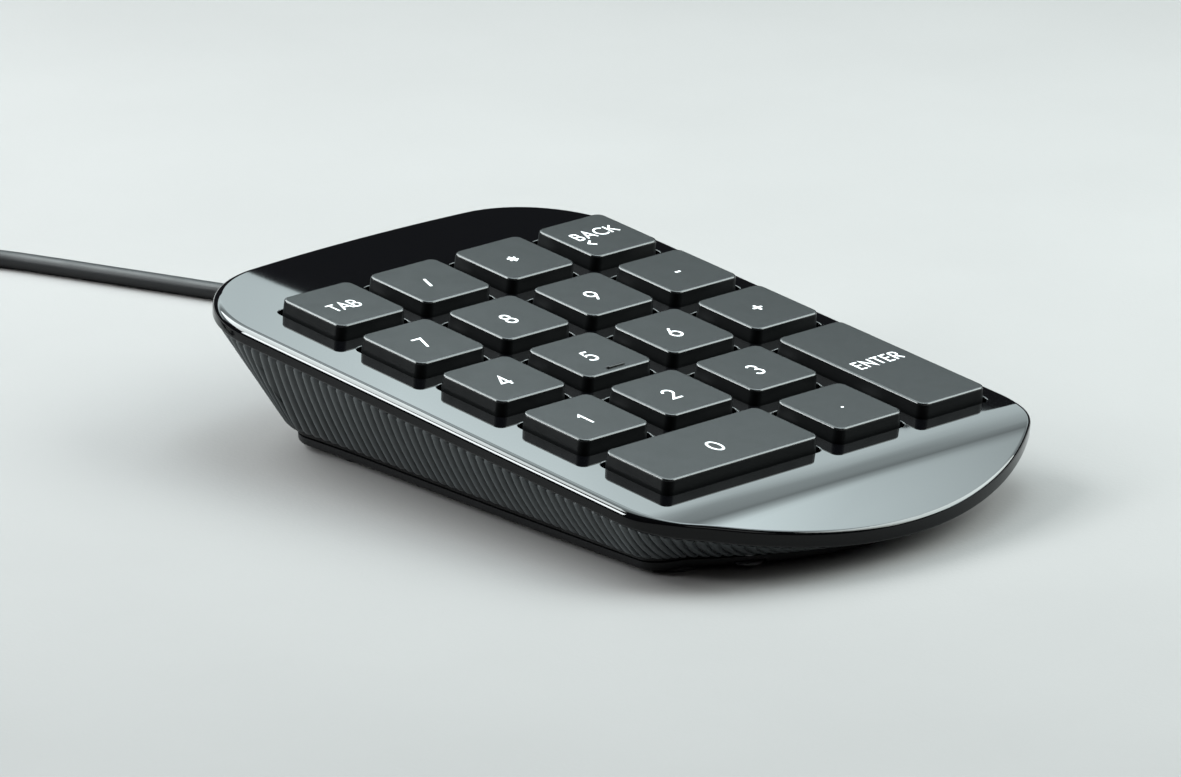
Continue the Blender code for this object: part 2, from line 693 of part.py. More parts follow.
# ============================================================================================
# Keys
def key_mesh(name, wide=1, tall=1, legs=(), bar=False):
    """A hollow cap with a plunger tube and a post for its dome; legs push a stabiliser wire."""
    half_x, half_y = key_half_size(wide, tall)
    shape = bmesh.new()
    verts = add_box(shape, (-half_x, -half_y, -KEY_TALL), (half_x, half_y, 0))
    for vert in verts:
        if vert.co.z < -1e-6:
            vert.co.x += math.copysign(KEY_FLARE * MM, vert.co.x)
            vert.co.y += math.copysign(KEY_FLARE * MM, vert.co.y)
    round_upright_edges(shape, verts, KEY_ROUND)
    top_edges = [edge for edge in shape.edges if all(v.co.z > -1e-6 for v in edge.verts)]
    chamfer(shape, top_edges, KEY_CHAMFER)
    cap = helper(name + "_solid", shape)

    hollow = bmesh.new()
    inner_x, inner_y = half_x - KEY_WALL, half_y - KEY_WALL
    add_box(hollow, (-inner_x, -inner_y, -KEY_TALL - PAST), (inner_x, inner_y, -KEY_ROOF))
    cut(cap, name + "_hollow", hollow)

    tube = bmesh.new()
    add_cylinder(tube, 0, 0, TUBE_END, -KEY_ROOF + SINK, TUBE_OUT)
    unite(cap, name + "_tube", tube)

    bore = bmesh.new()
    add_cylinder(bore, 0, 0, TUBE_END - PAST, -KEY_ROOF, TUBE_IN)
    cut(cap, name + "_bore", bore)

    posts = bmesh.new()
    post_top = -KEY_ROOF + POST_SINK
    add_cylinder(posts, 0, 0, POST_END, post_top, POST_R, segments=8)
    for x, y in legs:
        add_box(
            posts, (x - LEG_HALF, y - LEG_HALF, LEG_END), (x + LEG_HALF, y + LEG_HALF, post_top)
        )
    if bar:
        add_box(posts, *HOMING_BAR)
    unite(cap, name + "_posts", posts)

    mesh = applied_mesh(cap, name)
    smooth(mesh, 30)
    return mesh


def keys():
    meshes = {  # by columns wide and rows tall
        (1, 1): key_mesh("key_one_unit"),
        (2, 1): key_mesh(
            "key_wide", wide=2, legs=((-LEG_AT, WIRE_TIP_Y), (LEG_AT, WIRE_TIP_Y))
        ),
        (1, 2): key_mesh(
            "key_tall", tall=2, legs=((WIRE_TIP_Y, -LEG_AT), (WIRE_TIP_Y, LEG_AT))
        ),
    }
    homing = key_mesh("key_homing", bar=True)
    for name, _, _, wide, tall in KEYS:
        mesh = homing if name == "key_5" else meshes[wide, tall]
        place(bpy.data.objects.new(name, mesh), KEY, key_block, (*KEY_CENTRES[name], 0))


def stabiliser(name, x, y, turn=0.0):
    """A wire bent into a wide U with its tips turned in. Its long run lies on its X axis."""
    inner = WIRE_HALF - WIRE_TIP
    points = (
        (-inner, WIRE_REACH, KEY_TRAVEL),
        (-WIRE_HALF, WIRE_REACH, KEY_TRAVEL),
        (-WIRE_HALF, 0, 0),
        (WIRE_HALF, 0, 0),
        (WIRE_HALF, WIRE_REACH, KEY_TRAVEL),
        (inner, WIRE_REACH, KEY_TRAVEL),
    )
    wire = poly_curve(name, points, WIRE_R, resolution=1)
    place(wire, SCREW_STEEL, key_block, (x, y, WIRE_Z), (0, 0, turn))


def poly_curve(name, points, radius, resolution):
    """A round rod that runs straight from point to point."""
    curve = bpy.data.curves.new(name, "CURVE")
    curve.dimensions = "3D"
    curve.bevel_depth = radius * MM
    curve.bevel_resolution = resolution
    curve.use_fill_caps = True
    spline = curve.splines.new("POLY")
    spline.points.add(len(points) - 1)
    for spline_point, point in zip(spline.points, points):
        spline_point.co = (*(Vector(point) * MM), 1)
    return bpy.data.objects.new(name, curve)


def stabilisers():
    x, y = KEY_CENTRES["key_0"]
    stabiliser("stabiliser_key_0", x, y - WIRE_OFFSET)
    x, y = KEY_CENTRES["key_enter"]
    # turned so that the arms reach from the long run towards the key's middle line
    stabiliser("stabiliser_key_enter", x - WIRE_OFFSET, y, -QUARTER_TURN)


# ============================================================================================
# Switch stack
def add_wire_hooks(shape, centre, along_y):
    for side in (-1, 1):
        for corners in WIRE_HOOK_BOXES:
            placed = []
            for x, y, z in corners:
                x += side * WIRE_HOOK_AT
                if along_y:
                    x, y = y, x
                placed.append((centre[0] + x, centre[1] + y, z))
            add_box(shape, *placed)


def guide_frame():
    shape = bmesh.new()
    low, high = (-FRAME_HALF, -STACK_Y, FRAME_BOTTOM), (FRAME_HALF, STACK_Y, FRAME_TOP)
    add_rounded_box(shape, low, high, STACK_ROUND)
    obj = piece("key_guide_frame", shape, BASE, key_block)
    centres = KEY_CENTRES.values()

    collars = bmesh.new()
    add_cylinders(collars, centres, FRAME_TOP - SINK, COLLAR_TOP, COLLAR_OUT)
    add_wire_hooks(collars, KEY_CENTRES["key_0"], along_y=False)
    add_wire_hooks(collars, KEY_CENTRES["key_enter"], along_y=True)
    unite(obj, "frame_collars", collars, key_block, overlapping=True)

    bores = bmesh.new()
    below = FRAME_BOTTOM - PAST
    add_cylinders(bores, centres, below, COLLAR_TOP + PAST, COLLAR_IN)
    add_cylinders(bores, FRAME_SCREWS, below, FRAME_TOP + PAST, TIGHT_SCREW_HOLE_R, segments=8)
    cut(obj, "frame_bores", bores, key_block)
    smooth(obj.data, 40)


def sheet(name, top, bottom, mat, screw_hole_r=SHEET_SCREW_HOLE_R, key_holes=False, extra=None):
    """A sheet of the stack with a hole for each frame screw; extra is a helper united with it."""
    shape = bmesh.new()
    low, high = (-SHEET_HALF, -STACK_Y, bottom), (SHEET_HALF, STACK_Y, top)
    add_rounded_box(shape, low, high, STACK_ROUND)
    obj = piece(name, shape, mat, key_block)
    if extra is not None:
        boolean(obj, extra, "UNION")

    holes = bmesh.new()
    span = (bottom - PAST, top + PAST)
    add_cylinders(holes, FRAME_SCREWS, *span, screw_hole_r, segments=8)
    if key_holes:
        add_cylinders(holes, KEY_CENTRES.values(), *span, CONTACT_R, segments=8)
    cut(obj, name + "_holes", holes, key_block)
    return obj


def dome_sheet():
    centres = KEY_CENTRES.values()
    shape = bmesh.new()
    add_cylinders(
        shape, centres, DOME_SHEET_TOP - 0.2, DOME_TOP, DOME_BASE_R, DOME_TOP_R, segments=10
    )
    domes = helper("domes", shape, key_block)
    obj = sheet(
        "rubber_dome_sheet", DOME_SHEET_TOP, DOME_SHEET_BOTTOM, SILICONE, extra=domes
    )

    hollows = bmesh.new()
    add_cylinders(
        hollows,
        centres,
        DOME_SHEET_BOTTOM - 0.2,
        DOME_TOP - DOME_WALL,
        DOME_BASE_R - DOME_WALL,
        DOME_TOP_R - DOME_WALL,
        segments=10,
    )
    cut(obj, "dome_hollows", hollows, key_block)
    smooth(obj.data, 40)


def membrane_tail():
    """The membrane's ribbon, from inside the bottom layer, over the back and down to the board."""
    layer_z = BOTTOM_LAYER_Z - LAYER_THICK / 2
    path = [(TAIL_START_Y, layer_z), (STACK_Y + 0.6, layer_z)]
    path += [to_key_plane(y, z) for y, z in TAIL_DROP]
    shape = bmesh.new()
    left, right = (
        [shape.verts.new(Vector((x - KEY_BLOCK_X, y, z)) * MM) for y, z in path] for x in TAIL_X
    )
    for i in range(len(path) - 1):
        shape.faces.new((left[i], left[i + 1], right[i + 1], right[i]))
    ribbon = helper("membrane_tail", shape, key_block)
    mod = ribbon.modifiers.new("film", "SOLIDIFY")
    mod.thickness = TAIL_THICK * MM
    mod.offset = 0
    return ribbon


def membrane():
    def layer(name, top, mat, **options):
        sheet(name, top, top - LAYER_THICK, mat, **options)

    layer("membrane_top_layer", TOP_LAYER_Z, FILM)
    layer("membrane_spacer", SPACER_Z, SPACER_FILM, key_holes=True)
    layer("membrane_bottom_layer", BOTTOM_LAYER_Z, FILM, extra=membrane_tail())


def backing_plate():
    sheet("backing_plate", PLATE_TOP, PLATE_BOTTOM, STEEL, screw_hole_r=TIGHT_SCREW_HOLE_R)


# ============================================================================================
# Screws and feet: profiles are (radius, z)
def frame_screws():
    tip, seat = FRAME_TOP + 2.6, PLATE_BOTTOM - 0.25
    profile = (
        (0, tip), (0.45, tip), (FRAME_SCREW_R, tip - 0.8), (FRAME_SCREW_R, seat),
        (1.9, seat), (1.9, seat - 0.6), (1.3, seat - 1.0), (0, seat - 1.0),
    )
    for number, (x, y) in enumerate(FRAME_SCREWS, 1):
        screw = turned(f"frame_screw_{number}", profile, segments=10)
        place(screw, SCREW_STEEL, key_block, (x, y, 0))


def base_screws():
    seat = COVER_BOTTOM + 0.75
    for name, x, y, tip in BASE_SCREWS:
        profile = (
            (0, tip), (0.5, tip), (1.05, tip - 0.9), (1.05, seat),
            (2.35, seat), (2.35, seat - 0.45), (1.7, seat - 0.8), (0, seat - 0.8),
        )
        place(turned(name, profile, segments=12), SCREW_STEEL, desk, (x, y, 0))


def clamp_screws():
    seat = CLAMP_HIGH[2] + 0.25
    profile = (
        (0, seat + 1.1), (1.4, seat + 1.1), (2.0, seat + 0.6), (2.0, seat),
        (1.0, seat), (1.0, 2.6), (0.5, 2.0), (0, 2.0),
    )
    for name, x in CLAMP_SCREWS:
        place(turned(name, profile, segments=12), SCREW_STEEL, desk, (x, CLAMP_SCREW_Y, 0))


def feet():
    profile = ((0, 1.1), (FOOT_R, 1.1), (FOOT_R, 0.4), (FOOT_R - 0.4, 0.0), (0, 0.0))
    for name, x, y in FEET:
        place(turned(name, profile, segments=16), RUBBER, desk, (x, y, 0))


# ============================================================================================
# Electronics
def block(name, low, high, mat, corner_r=0.0, chamfer_by=0.0):
    shape = bmesh.new()
    if corner_r:
        add_rounded_box(shape, low, high, corner_r)
    else:
        add_box(shape, low, high)
    if chamfer_by:
        chamfer(shape, shape.edges[:], chamfer_by)
    return piece(name, shape, mat, desk)


def board_and_clamp():
    board = block("controller_board", BOARD_LOW, BOARD_HIGH, LAMINATE, corner_r=1.5)
    clamp = block("membrane_clamp_bar", CLAMP_LOW, CLAMP_HIGH, NYLON, corner_r=1.2)
    shape = bmesh.new()
    span = (BOARD_LOW[2] - PAST, CLAMP_HIGH[2] + PAST)
    add_cylinders(shape, CLAMP_SCREW_CENTRES, *span, 1.3, segments=8)
    holes = helper("clamp_holes", shape, desk)
    boolean(board, holes, "DIFFERENCE")
    boolean(clamp, holes, "DIFFERENCE")


def board_parts():
    block(
        "controller_chip",
        (-13.0, 18.0, PART_Z),
        (-3.0, 26.0, PART_Z + 1.8),
        RESIN,
        chamfer_by=0.2,
    )
    block("crystal_can", (2.0, 18.0, PART_Z), (12.0, 22.4, PART_Z + 3.3), NICKEL, corner_r=2.0)
    block(
        "cable_header",
        (CABLE_EXIT_X - 5.0, 16.0, PART_Z),
        (CABLE_EXIT_X + 5.0, 22.2, PART_Z + 3.5),
        NYLON,
    )


# ============================================================================================
# Cable, strain relief and plug
def smooth_path(points, steps):
    """A Catmull-Rom curve through the points, with this many pieces between two of them."""
    points = [Vector(point) for point in points]
    ends = [2 * points[0] - points[1], *points, 2 * points[-1] - points[-2]]
    path = []
    for before, start, end, after in zip(ends, ends[1:], ends[2:], ends[3:]):
        for i in range(steps):
            t = i / steps
            path.append(
                0.5
                * (
                    2 * start
                    + (end - before) * t
                    + (2 * before - 5 * start + 4 * end - after) * t**2
                    + (3 * start - before - 3 * end + after) * t**3
                )
            )
    return path + [points[-1]]


def usb_cable():
    inside = [(CABLE_EXIT_X, y, CABLE_EXIT_Z) for y in CABLE_INSIDE_Y]
    forward = Vector((-math.sin(PLUG_HEADING), math.cos(PLUG_HEADING), 0))
    in_grip = [Vector(PLUG_AT) + forward * depth for depth in (1.0, 6.0)]
    points = inside + smooth_path(CABLE_BEND, steps=3) + in_grip
    place(poly_curve("usb_cable", points, CABLE_R, resolution=2), SLEEVE, desk)


def strain_relief():
    """A flanged, tapering sleeve, turned about local Z and laid along +Y."""
    bore = CABLE_R + 0.25
    profile = (
        (2.3, 22.0), (3.2, 12.0), (3.2, 1.2), (4.5, 1.2), (4.5, 0.0), (bore, 0.0), (bore, 22.0),
    )
    sleeve = turned("strain_relief", profile, segments=14)
    place(sleeve, RUBBER, desk, (CABLE_EXIT_X, 43.6, CABLE_EXIT_Z), (-QUARTER_TURN, 0, 0))


def plug_grip(frame):
    shape = bmesh.new()
    verts = add_box(shape, (-GRIP_X / 2, 0, -GRIP_Z / 2), (GRIP_X / 2, GRIP_Y, GRIP_Z / 2))
    for vert in verts:
        if vert.co.y < 1e-6:
            vert.co.x *= GRIP_TAPER_X
            vert.co.z *= GRIP_TAPER_Z
    round_edges(shape, shape.edges[:], 1.4)
    obj = piece("plug_grip", shape, SLEEVE, frame)

    bore = bmesh.new()
    add_cylinder(bore, 0, 0, -2, 7.0, CABLE_R + 0.2)
    cut(obj, "grip_bore", bore, frame, turn=(-QUARTER_TURN, 0, 0))

    socket = bmesh.new()
    half_x, half_z = SHELL_X / 2 + SHELL_GAP, SHELL_Z / 2 + SHELL_GAP
    add_box(
        socket,
        (-half_x, GRIP_Y - SHELL_SINK - SHELL_GAP, -half_z),
        (half_x, GRIP_Y + PAST, half_z),
    )
    cut(obj, "grip_socket", socket, frame)
    smooth(obj.data)


def plug_shell(frame):
    back, mouth = GRIP_Y - SHELL_SINK, GRIP_Y + SHELL_Y
    shape = bmesh.new()
    add_box(shape, (-SHELL_X / 2, back, -SHELL_Z / 2), (SHELL_X / 2, mouth, SHELL_Z / 2))
    obj = piece("plug_shell", shape, NICKEL, frame)

    inside = bmesh.new()
    half_x, half_z = SHELL_X / 2 - SHELL_SHEET, SHELL_Z / 2 - SHELL_SHEET
    add_box(inside, (-half_x, back - PAST, -half_z), (half_x, mouth + PAST, half_z))
    cut(obj, "shell_inside", inside, frame)

    windows = bmesh.new()
    for x in (-WINDOW_X, WINDOW_X):
        add_box(
            windows,
            (x - WINDOW_HALF, GRIP_Y + WINDOW_Y[0], -SHELL_Z),
            (x + WINDOW_HALF, GRIP_Y + WINDOW_Y[1], SHELL_Z),
        )
    cut(obj, "shell_windows", windows, frame)


def plug_tongue(frame):
    half_x = SHELL_X / 2 - SHELL_SHEET - 0.25
    top = SHELL_Z / 2 - SHELL_SHEET - 0.15
    shape = bmesh.new()
    add_box(shape, (-half_x, GRIP_Y - 4.5, 0.1), (half_x, GRIP_Y + SHELL_Y - 0.6, top))
    piece("plug_tongue", shape, NYLON, frame)


def plug():
    frame = empty("plug_frame", PLUG_AT, (0, 0, PLUG_HEADING), desk)
    plug_grip(frame)
    plug_shell(frame)
    plug_tongue(frame)


# ============================================================================================
top_bezel()
lower_case()
base_cover()
keys()
stabilisers()
guide_frame()
dome_sheet()
membrane()
backing_plate()
frame_screws()
base_screws()
feet()
board_and_clamp()
clamp_screws()
board_parts()
usb_cable()
strain_relief()
plug()
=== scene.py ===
"""Looks for a numeric keypad with a cable and a USB plug.

Shapes are built in mm in one of three frames and baked into metres. DESK has its origin under
the case on the desk: +x right, +y to the back, where the cable leaves, +z up. KEY_PLANE is
raised and tilted so that z = 0 is the plane of the key tops. KEY_BLOCK is KEY_PLANE moved in x
to the middle of the keys. The plug has a frame of its own, PLUG, with +y out of the plug.
"""

import math

import bmesh
import bpy
from mathutils import Matrix, Vector


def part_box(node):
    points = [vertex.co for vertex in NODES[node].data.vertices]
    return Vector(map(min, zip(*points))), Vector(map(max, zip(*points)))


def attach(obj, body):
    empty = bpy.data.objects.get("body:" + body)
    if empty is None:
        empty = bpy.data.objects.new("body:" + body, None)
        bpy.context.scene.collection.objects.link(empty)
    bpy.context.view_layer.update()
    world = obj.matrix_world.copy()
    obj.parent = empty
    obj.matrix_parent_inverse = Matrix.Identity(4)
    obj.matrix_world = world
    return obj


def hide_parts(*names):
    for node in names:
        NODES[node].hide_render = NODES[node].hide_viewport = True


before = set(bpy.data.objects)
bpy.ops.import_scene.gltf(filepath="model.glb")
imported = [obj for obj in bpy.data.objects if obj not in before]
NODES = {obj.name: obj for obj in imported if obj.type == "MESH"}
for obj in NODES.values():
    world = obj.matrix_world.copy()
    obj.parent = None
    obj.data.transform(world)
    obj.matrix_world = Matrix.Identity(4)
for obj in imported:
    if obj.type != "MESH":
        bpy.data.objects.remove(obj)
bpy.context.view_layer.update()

MM = 0.001
PI = math.pi

# ---- keys: layout and cap sizes -------------------------------------------------------------
PITCH = 19.0
KEY_TOP, KEY_FLARE, KEY_TALL = 14.7, 0.2, 4.4
KEY_ROUND, KEY_EDGE_ROUND = 1.5, 0.34  # corner radius in plan, radius round the top
HOLE_GAP, HOLE_CORNER, HOLE_FILLET = 0.6, 1.6, 0.22
# name, column, row from the back, columns wide, rows tall
KEYS = (
    ("key_tab", 0, 0, 1, 1),
    ("key_divide", 1, 0, 1, 1),
    ("key_multiply", 2, 0, 1, 1),
    ("key_back", 3, 0, 1, 1),
    ("key_7", 0, 1, 1, 1),
    ("key_8", 1, 1, 1, 1),
    ("key_9", 2, 1, 1, 1),
    ("key_minus", 3, 1, 1, 1),
    ("key_4", 0, 2, 1, 1),
    ("key_5", 1, 2, 1, 1),
    ("key_6", 2, 2, 1, 1),
    ("key_plus", 3, 2, 1, 1),
    ("key_1", 0, 3, 1, 1),
    ("key_2", 1, 3, 1, 1),
    ("key_3", 2, 3, 1, 1),
    ("key_enter", 3, 3, 1, 2),
    ("key_0", 0, 4, 2, 1),
    ("key_decimal", 2, 4, 1, 1),
)

# ---- case -----------------------------------------------------------------------------------
HALF_WIDTH = 43.3
BACK_Y, BACK_RADIUS, CORNER_RADIUS = 63.8, 370.0, 20.5
FRONT_Y, FRONT_RADIUS, CHEEK_RADIUS = -68.8, 62.4, 14.0
BEZEL_TOP, BEZEL_THICK, SKIRT_THICK, BEZEL_ROUND = -2.37, 1.8, 1.8, 1.35
BAND_BOTTOM, SEAM, RIM_Z, WALL = -5.0, 0.3, 2.55, 2.2
SEAM_INSET = 0.45
SIDE_SLOPE, FRONT_UNDERCUT = 0.477, 4.4
RIM_CORNER_X, RIM_CORNER_Y, RIM_CORNER_R = 28.0, 38.0, 7.0
RIB_PITCH, RIB_DEEP = 2.05, 0.95
LIP_START, LIP_STEP = -48.2, 0.01  # where the bezel starts to drop, step of its drop table

# ---- underside: name, x, y ------------------------------------------------------------------
FOOT_REAR_Y = 30.0
FEET = (
    ("foot_rear_left", -28.0, FOOT_REAR_Y),
    ("foot_rear_right", 28.0, FOOT_REAR_Y),
    ("foot_front_left", -31.0, -44.0),
    ("foot_front_right", 31.0, -44.0),
)
BASE_SCREWS = (
    ("base_screw_rear_left", -28.0, 39.5),
    ("base_screw_rear_right", 28.0, 39.5),
    ("base_screw_front_left", -24.0, -53.6),
    ("base_screw_front_right", 24.0, -53.6),
)
FOOT_RADIUS, FOOT_TOP, FOOT_ROUND, FOOT_POCKET_RADIUS = 4.7, 1.35, 0.5, 4.95
SCREW_POCKET_RADIUS, SCREW_POCKET_TOP = 2.85, 1.72
SCREW_CROSS_TURN = 22  # degrees

# ---- cable and plug -------------------------------------------------------------------------
CABLE_X, CABLE_Z, CABLE_RADIUS, CABLE_HOLE_RADIUS = 22.0, 8.8, 1.5, 3.6
CABLE_INSIDE_Y = (22.6, 40.0, 58.0, 64.0)  # stations of the straight run out of the case
RELIEF_Y = 43.6
# x, y, z of the cable's middle from the case to the plug
CABLE_PATH = (
    (CABLE_X, 70.5, CABLE_Z),
    (21.8, 77.5, 8.0),
    (21.0, 86.0, 5.0),
    (19.0, 94.5, 2.3),
    (16.2, 102.0, 1.58),
    (12.7, 111.0, 1.58),
    (9.0, 122.0, 1.58),
    (5.4, 132.6, 1.58),
    (1.7, 143.5, 1.58),
    (-2.2, 153.6, 1.58),
    (-8.3, 162.7, 1.58),
    (-17.5, 168.6, 1.58),
    (-28.2, 169.6, 1.65),
    (-37.6, 165.2, 2.1),
    (-42.8, 156.6, 3.1),
    (-46.0, 149.4, 3.9),
)
PLUG_HEADING = math.radians(150.0)
PLUG_AT = (-49.0, 144.2, 4.0)
GRIP_WIDE, GRIP_LONG, GRIP_TALL = 16.0, 26.0, 8.0
SHELL_WIDE, SHELL_LONG, SHELL_TALL = 12.0, 19.0, 4.5

# ---- frames ---------------------------------------------------------------------------------
TILT = math.radians(6.4)
DIVIDE_EDGE_Y = 7.05  # from the middle of key_divide to its highest edge

# the bezel's box gives the middle of the case in x; the foot gives its place in y
low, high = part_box("top_bezel")
BODY_X = (low.x + high.x) / 2
low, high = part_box("foot_rear_left")
BODY_Y = (low.y + high.y) / 2 - FOOT_REAR_Y * MM
# key_divide stands half a pitch left of the block's middle and two rows behind it
low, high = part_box("key_divide")
KEY_BLOCK_X = (low.x + high.x) / 2 / MM - BODY_X / MM + PITCH / 2
KEY_PLANE_Z = round(high.z / MM - (2 * PITCH + DIVIDE_EDGE_Y) * math.sin(TILT), 1)

DESK = Matrix.Translation((BODY_X, BODY_Y, 0)) @ Matrix.Scale(MM, 4)
KEY_PLANE = DESK @ Matrix.Translation((0, 0, KEY_PLANE_Z)) @ Matrix.Rotation(TILT, 4, "X")
KEY_BLOCK = KEY_PLANE @ Matrix.Translation((KEY_BLOCK_X, 0, 0))
PLUG = DESK @ Matrix.Translation(PLUG_AT) @ Matrix.Rotation(PLUG_HEADING, 4, "Z")


# ============================================================================================
# Materials
def material(
    name, colour, rough, metal=0.0, coat=0.0, spec=0.5,
    rough_vary=None, colour_vary=None, grain=None, detail=2.0, stretch=None, pits=None,
):
    """A Principled material with procedural detail in object space, sizes in mm.

    rough_vary: (patch size, change either way); colour_vary: (patch size, share either way);
    grain: (size, height) of a noise bump, with its noise detail and stretch;
    pits: (size, height, strength) of a cell bump.
    """
    made = bpy.data.materials.new(name)
    made.use_nodes = True
    tree = made.node_tree
    surface = tree.nodes["Principled BSDF"].inputs
    surface["Base Color"].default_value = (*colour, 1)
    surface["Roughness"].default_value = rough
    surface["Metallic"].default_value = metal
    surface["IOR"].default_value = 1.5
    surface["Coat Weight"].default_value = coat
    surface["Coat Roughness"].default_value = 0.03
    surface["Specular IOR Level"].default_value = spec
    place = tree.nodes.new("ShaderNodeTexCoord").outputs["Object"]
    link = tree.links.new

    def noise(size, detail, stretch=None):
        node = tree.nodes.new("ShaderNodeTexNoise")
        node.inputs["Scale"].default_value = 1.0 / (size * MM)
        node.inputs["Detail"].default_value = detail
        node.inputs["Roughness"].default_value = 0.5
        source = place
        if stretch:
            mapping = tree.nodes.new("ShaderNodeMapping")
            mapping.inputs["Scale"].default_value = stretch
            link(place, mapping.inputs["Vector"])
            source = mapping.outputs["Vector"]
        link(source, node.inputs["Vector"])
        return node.outputs["Fac"]

    def patches(size, least, most):
        """Noise with its middle range, 0.3 to 0.7, spread over least to most."""
        value = noise(size, detail=3.0)
        node = tree.nodes.new("ShaderNodeMapRange")
        node.inputs["From Min"].default_value = 0.3
        node.inputs["From Max"].default_value = 0.7
        node.inputs["To Min"].default_value = least
        node.inputs["To Max"].default_value = most
        link(value, node.inputs["Value"])
        return node.outputs["Result"]

    def bump(value, height, strength=1.0):
        node = tree.nodes.new("ShaderNodeBump")
        node.inputs["Strength"].default_value = strength
        node.inputs["Distance"].default_value = height * MM
        link(value, node.inputs["Height"])
        link(node.outputs["Normal"], surface["Normal"])

    if rough_vary:
        size, change = rough_vary
        link(patches(size, rough - change, rough + change), surface["Roughness"])
    if colour_vary:
        size, share = colour_vary
        mix = tree.nodes.new("ShaderNodeMix")
        mix.data_type = "RGBA"
        mix.inputs[6].default_value = (*(c * (1 - share) for c in colour), 1)
        mix.inputs[7].default_value = (*(min(1, c * (1 + share)) for c in colour), 1)
        link(patches(size, 0, 1), mix.inputs[0])
        link(mix.outputs[2], surface["Base Color"])
    if grain:
        size, height = grain
        bump(noise(size, detail, stretch), height)
    if pits:
        size, height, strength = pits
        cells = tree.nodes.new("ShaderNodeTexVoronoi")
        cells.inputs["Scale"].default_value = 1.0 / (size * MM)
        link(place, cells.inputs["Vector"])
        bump(cells.outputs["Distance"], height, strength)
    return made


GLOSS = material(
    "piano_black", colour=(0.0016, 0.0016, 0.0020), rough=0.016,
    rough_vary=(14.0, 0.006), grain=(11.0, 0.0006), detail=1.0,
)
GLOSS_EDGE = material(
    "piano_black_edge", colour=(0.0016, 0.0016, 0.0020), rough=0.06, spec=0.2,
    rough_vary=(10.0, 0.015),
)
KEY_FACE = material(
    "key_plastic", colour=(0.0044, 0.0052, 0.0054), rough=0.34, spec=0.21,
    rough_vary=(5.0, 0.04), colour_vary=(7.0, 0.10), grain=(0.16, 0.010),
)
# a lighter, glossier copy of the key plastic for the rounded top edges; its lighter colour is a
# painted highlight along the edges
KEY_EDGE_PAINTED_HIGHLIGHT = material(
    "key_plastic_edge_painted_highlight", colour=(0.0060, 0.0064, 0.0068), rough=0.19, rough_vary=(2.0, 0.03)
)
# a darker, rougher copy of the key plastic for the side walls; its darker colour is painted shade on
# the walls
KEY_SIDE_PAINTED_SHADE = material(
    "key_plastic_side_painted_shade", colour=(0.0034, 0.0037, 0.0040), rough=0.46, spec=0.12,
    rough_vary=(3.0, 0.04),
)
RIBS = material(
    "ribbed_plastic", colour=(0.066, 0.073, 0.076), rough=0.40,
    rough_vary=(6.0, 0.05), colour_vary=(9.0, 0.08), grain=(0.22, 0.010),
)
COVER = material(
    "base_plastic", colour=(0.0045, 0.0045, 0.005), rough=0.5, spec=0.25,
    rough_vary=(8.0, 0.05), pits=(0.55, 0.035, 0.8),
)
INK = material(
    "legend_ink", colour=(0.86, 0.87, 0.88), rough=0.55, rough_vary=(1.2, 0.08), grain=(0.15, 0.004)
)
CABLE = material(
    "cable_jacket", colour=(0.008, 0.008, 0.009), rough=0.44, spec=0.35,
    rough_vary=(7.0, 0.06), grain=(0.4, 0.012), detail=3.0,
)
GRIP = material(
    "moulded_grip", colour=(0.012, 0.012, 0.013), rough=0.5,
    rough_vary=(4.0, 0.06), grain=(0.25, 0.02),
)
RUBBER = material(
    "foot_rubber", colour=(0.018, 0.018, 0.019), rough=0.8,
    rough_vary=(3.0, 0.08), grain=(0.3, 0.03), detail=3.0,
)
NICKEL = material(
    "plug_nickel_bright", colour=(0.72, 0.71, 0.69), rough=0.2, metal=1.0,
    rough_vary=(2.5, 0.06), grain=(0.5, 0.004), stretch=(1, 12, 1),
)
STEEL = material(
    "zinc_plate", colour=(0.60, 0.61, 0.63), rough=0.34, metal=1.0,
    rough_vary=(5.0, 0.08), colour_vary=(6.0, 0.06), grain=(0.8, 0.01),
)
SCREW = material(
    "screw_black_zinc", colour=(0.20, 0.20, 0.205), rough=0.36, metal=1.0,
    rough_vary=(0.8, 0.08), grain=(0.3, 0.01),
)
SILICONE = material(
    "silicone", colour=(0.46, 0.47, 0.48), rough=0.55, rough_vary=(4.0, 0.06), grain=(0.5, 0.02)
)
silicone_inputs = SILICONE.node_tree.nodes["Principled BSDF"].inputs
silicone_inputs["Subsurface Weight"].default_value = 0.15
silicone_inputs["Subsurface Radius"].default_value = (0.002, 0.002, 0.002)
FILM = material(
    "polyester_film", colour=(0.62, 0.66, 0.62), rough=0.22,
    rough_vary=(6.0, 0.05), colour_vary=(12.0, 0.06), grain=(4.0, 0.01),
)
SPACER = material(
    "film_adhesive", colour=(0.70, 0.70, 0.67), rough=0.45,
    rough_vary=(5.0, 0.06), colour_vary=(6.0, 0.05), grain=(2.0, 0.01),
)
NYLON = material(
    "moulded_nylon", colour=(0.74, 0.73, 0.69), rough=0.42,
    rough_vary=(3.0, 0.06), colour_vary=(5.0, 0.04), grain=(0.4, 0.012),
)
MASK = material(
    "solder_mask", colour=(0.012, 0.13, 0.045), rough=0.30, coat=0.3,
    rough_vary=(4.0, 0.05), colour_vary=(1.6, 0.35), grain=(0.7, 0.012),
)
RESIN = material(
    "chip_resin", colour=(0.018, 0.018, 0.019), rough=0.5, rough_vary=(1.0, 0.06), grain=(0.12, 0.01)
)

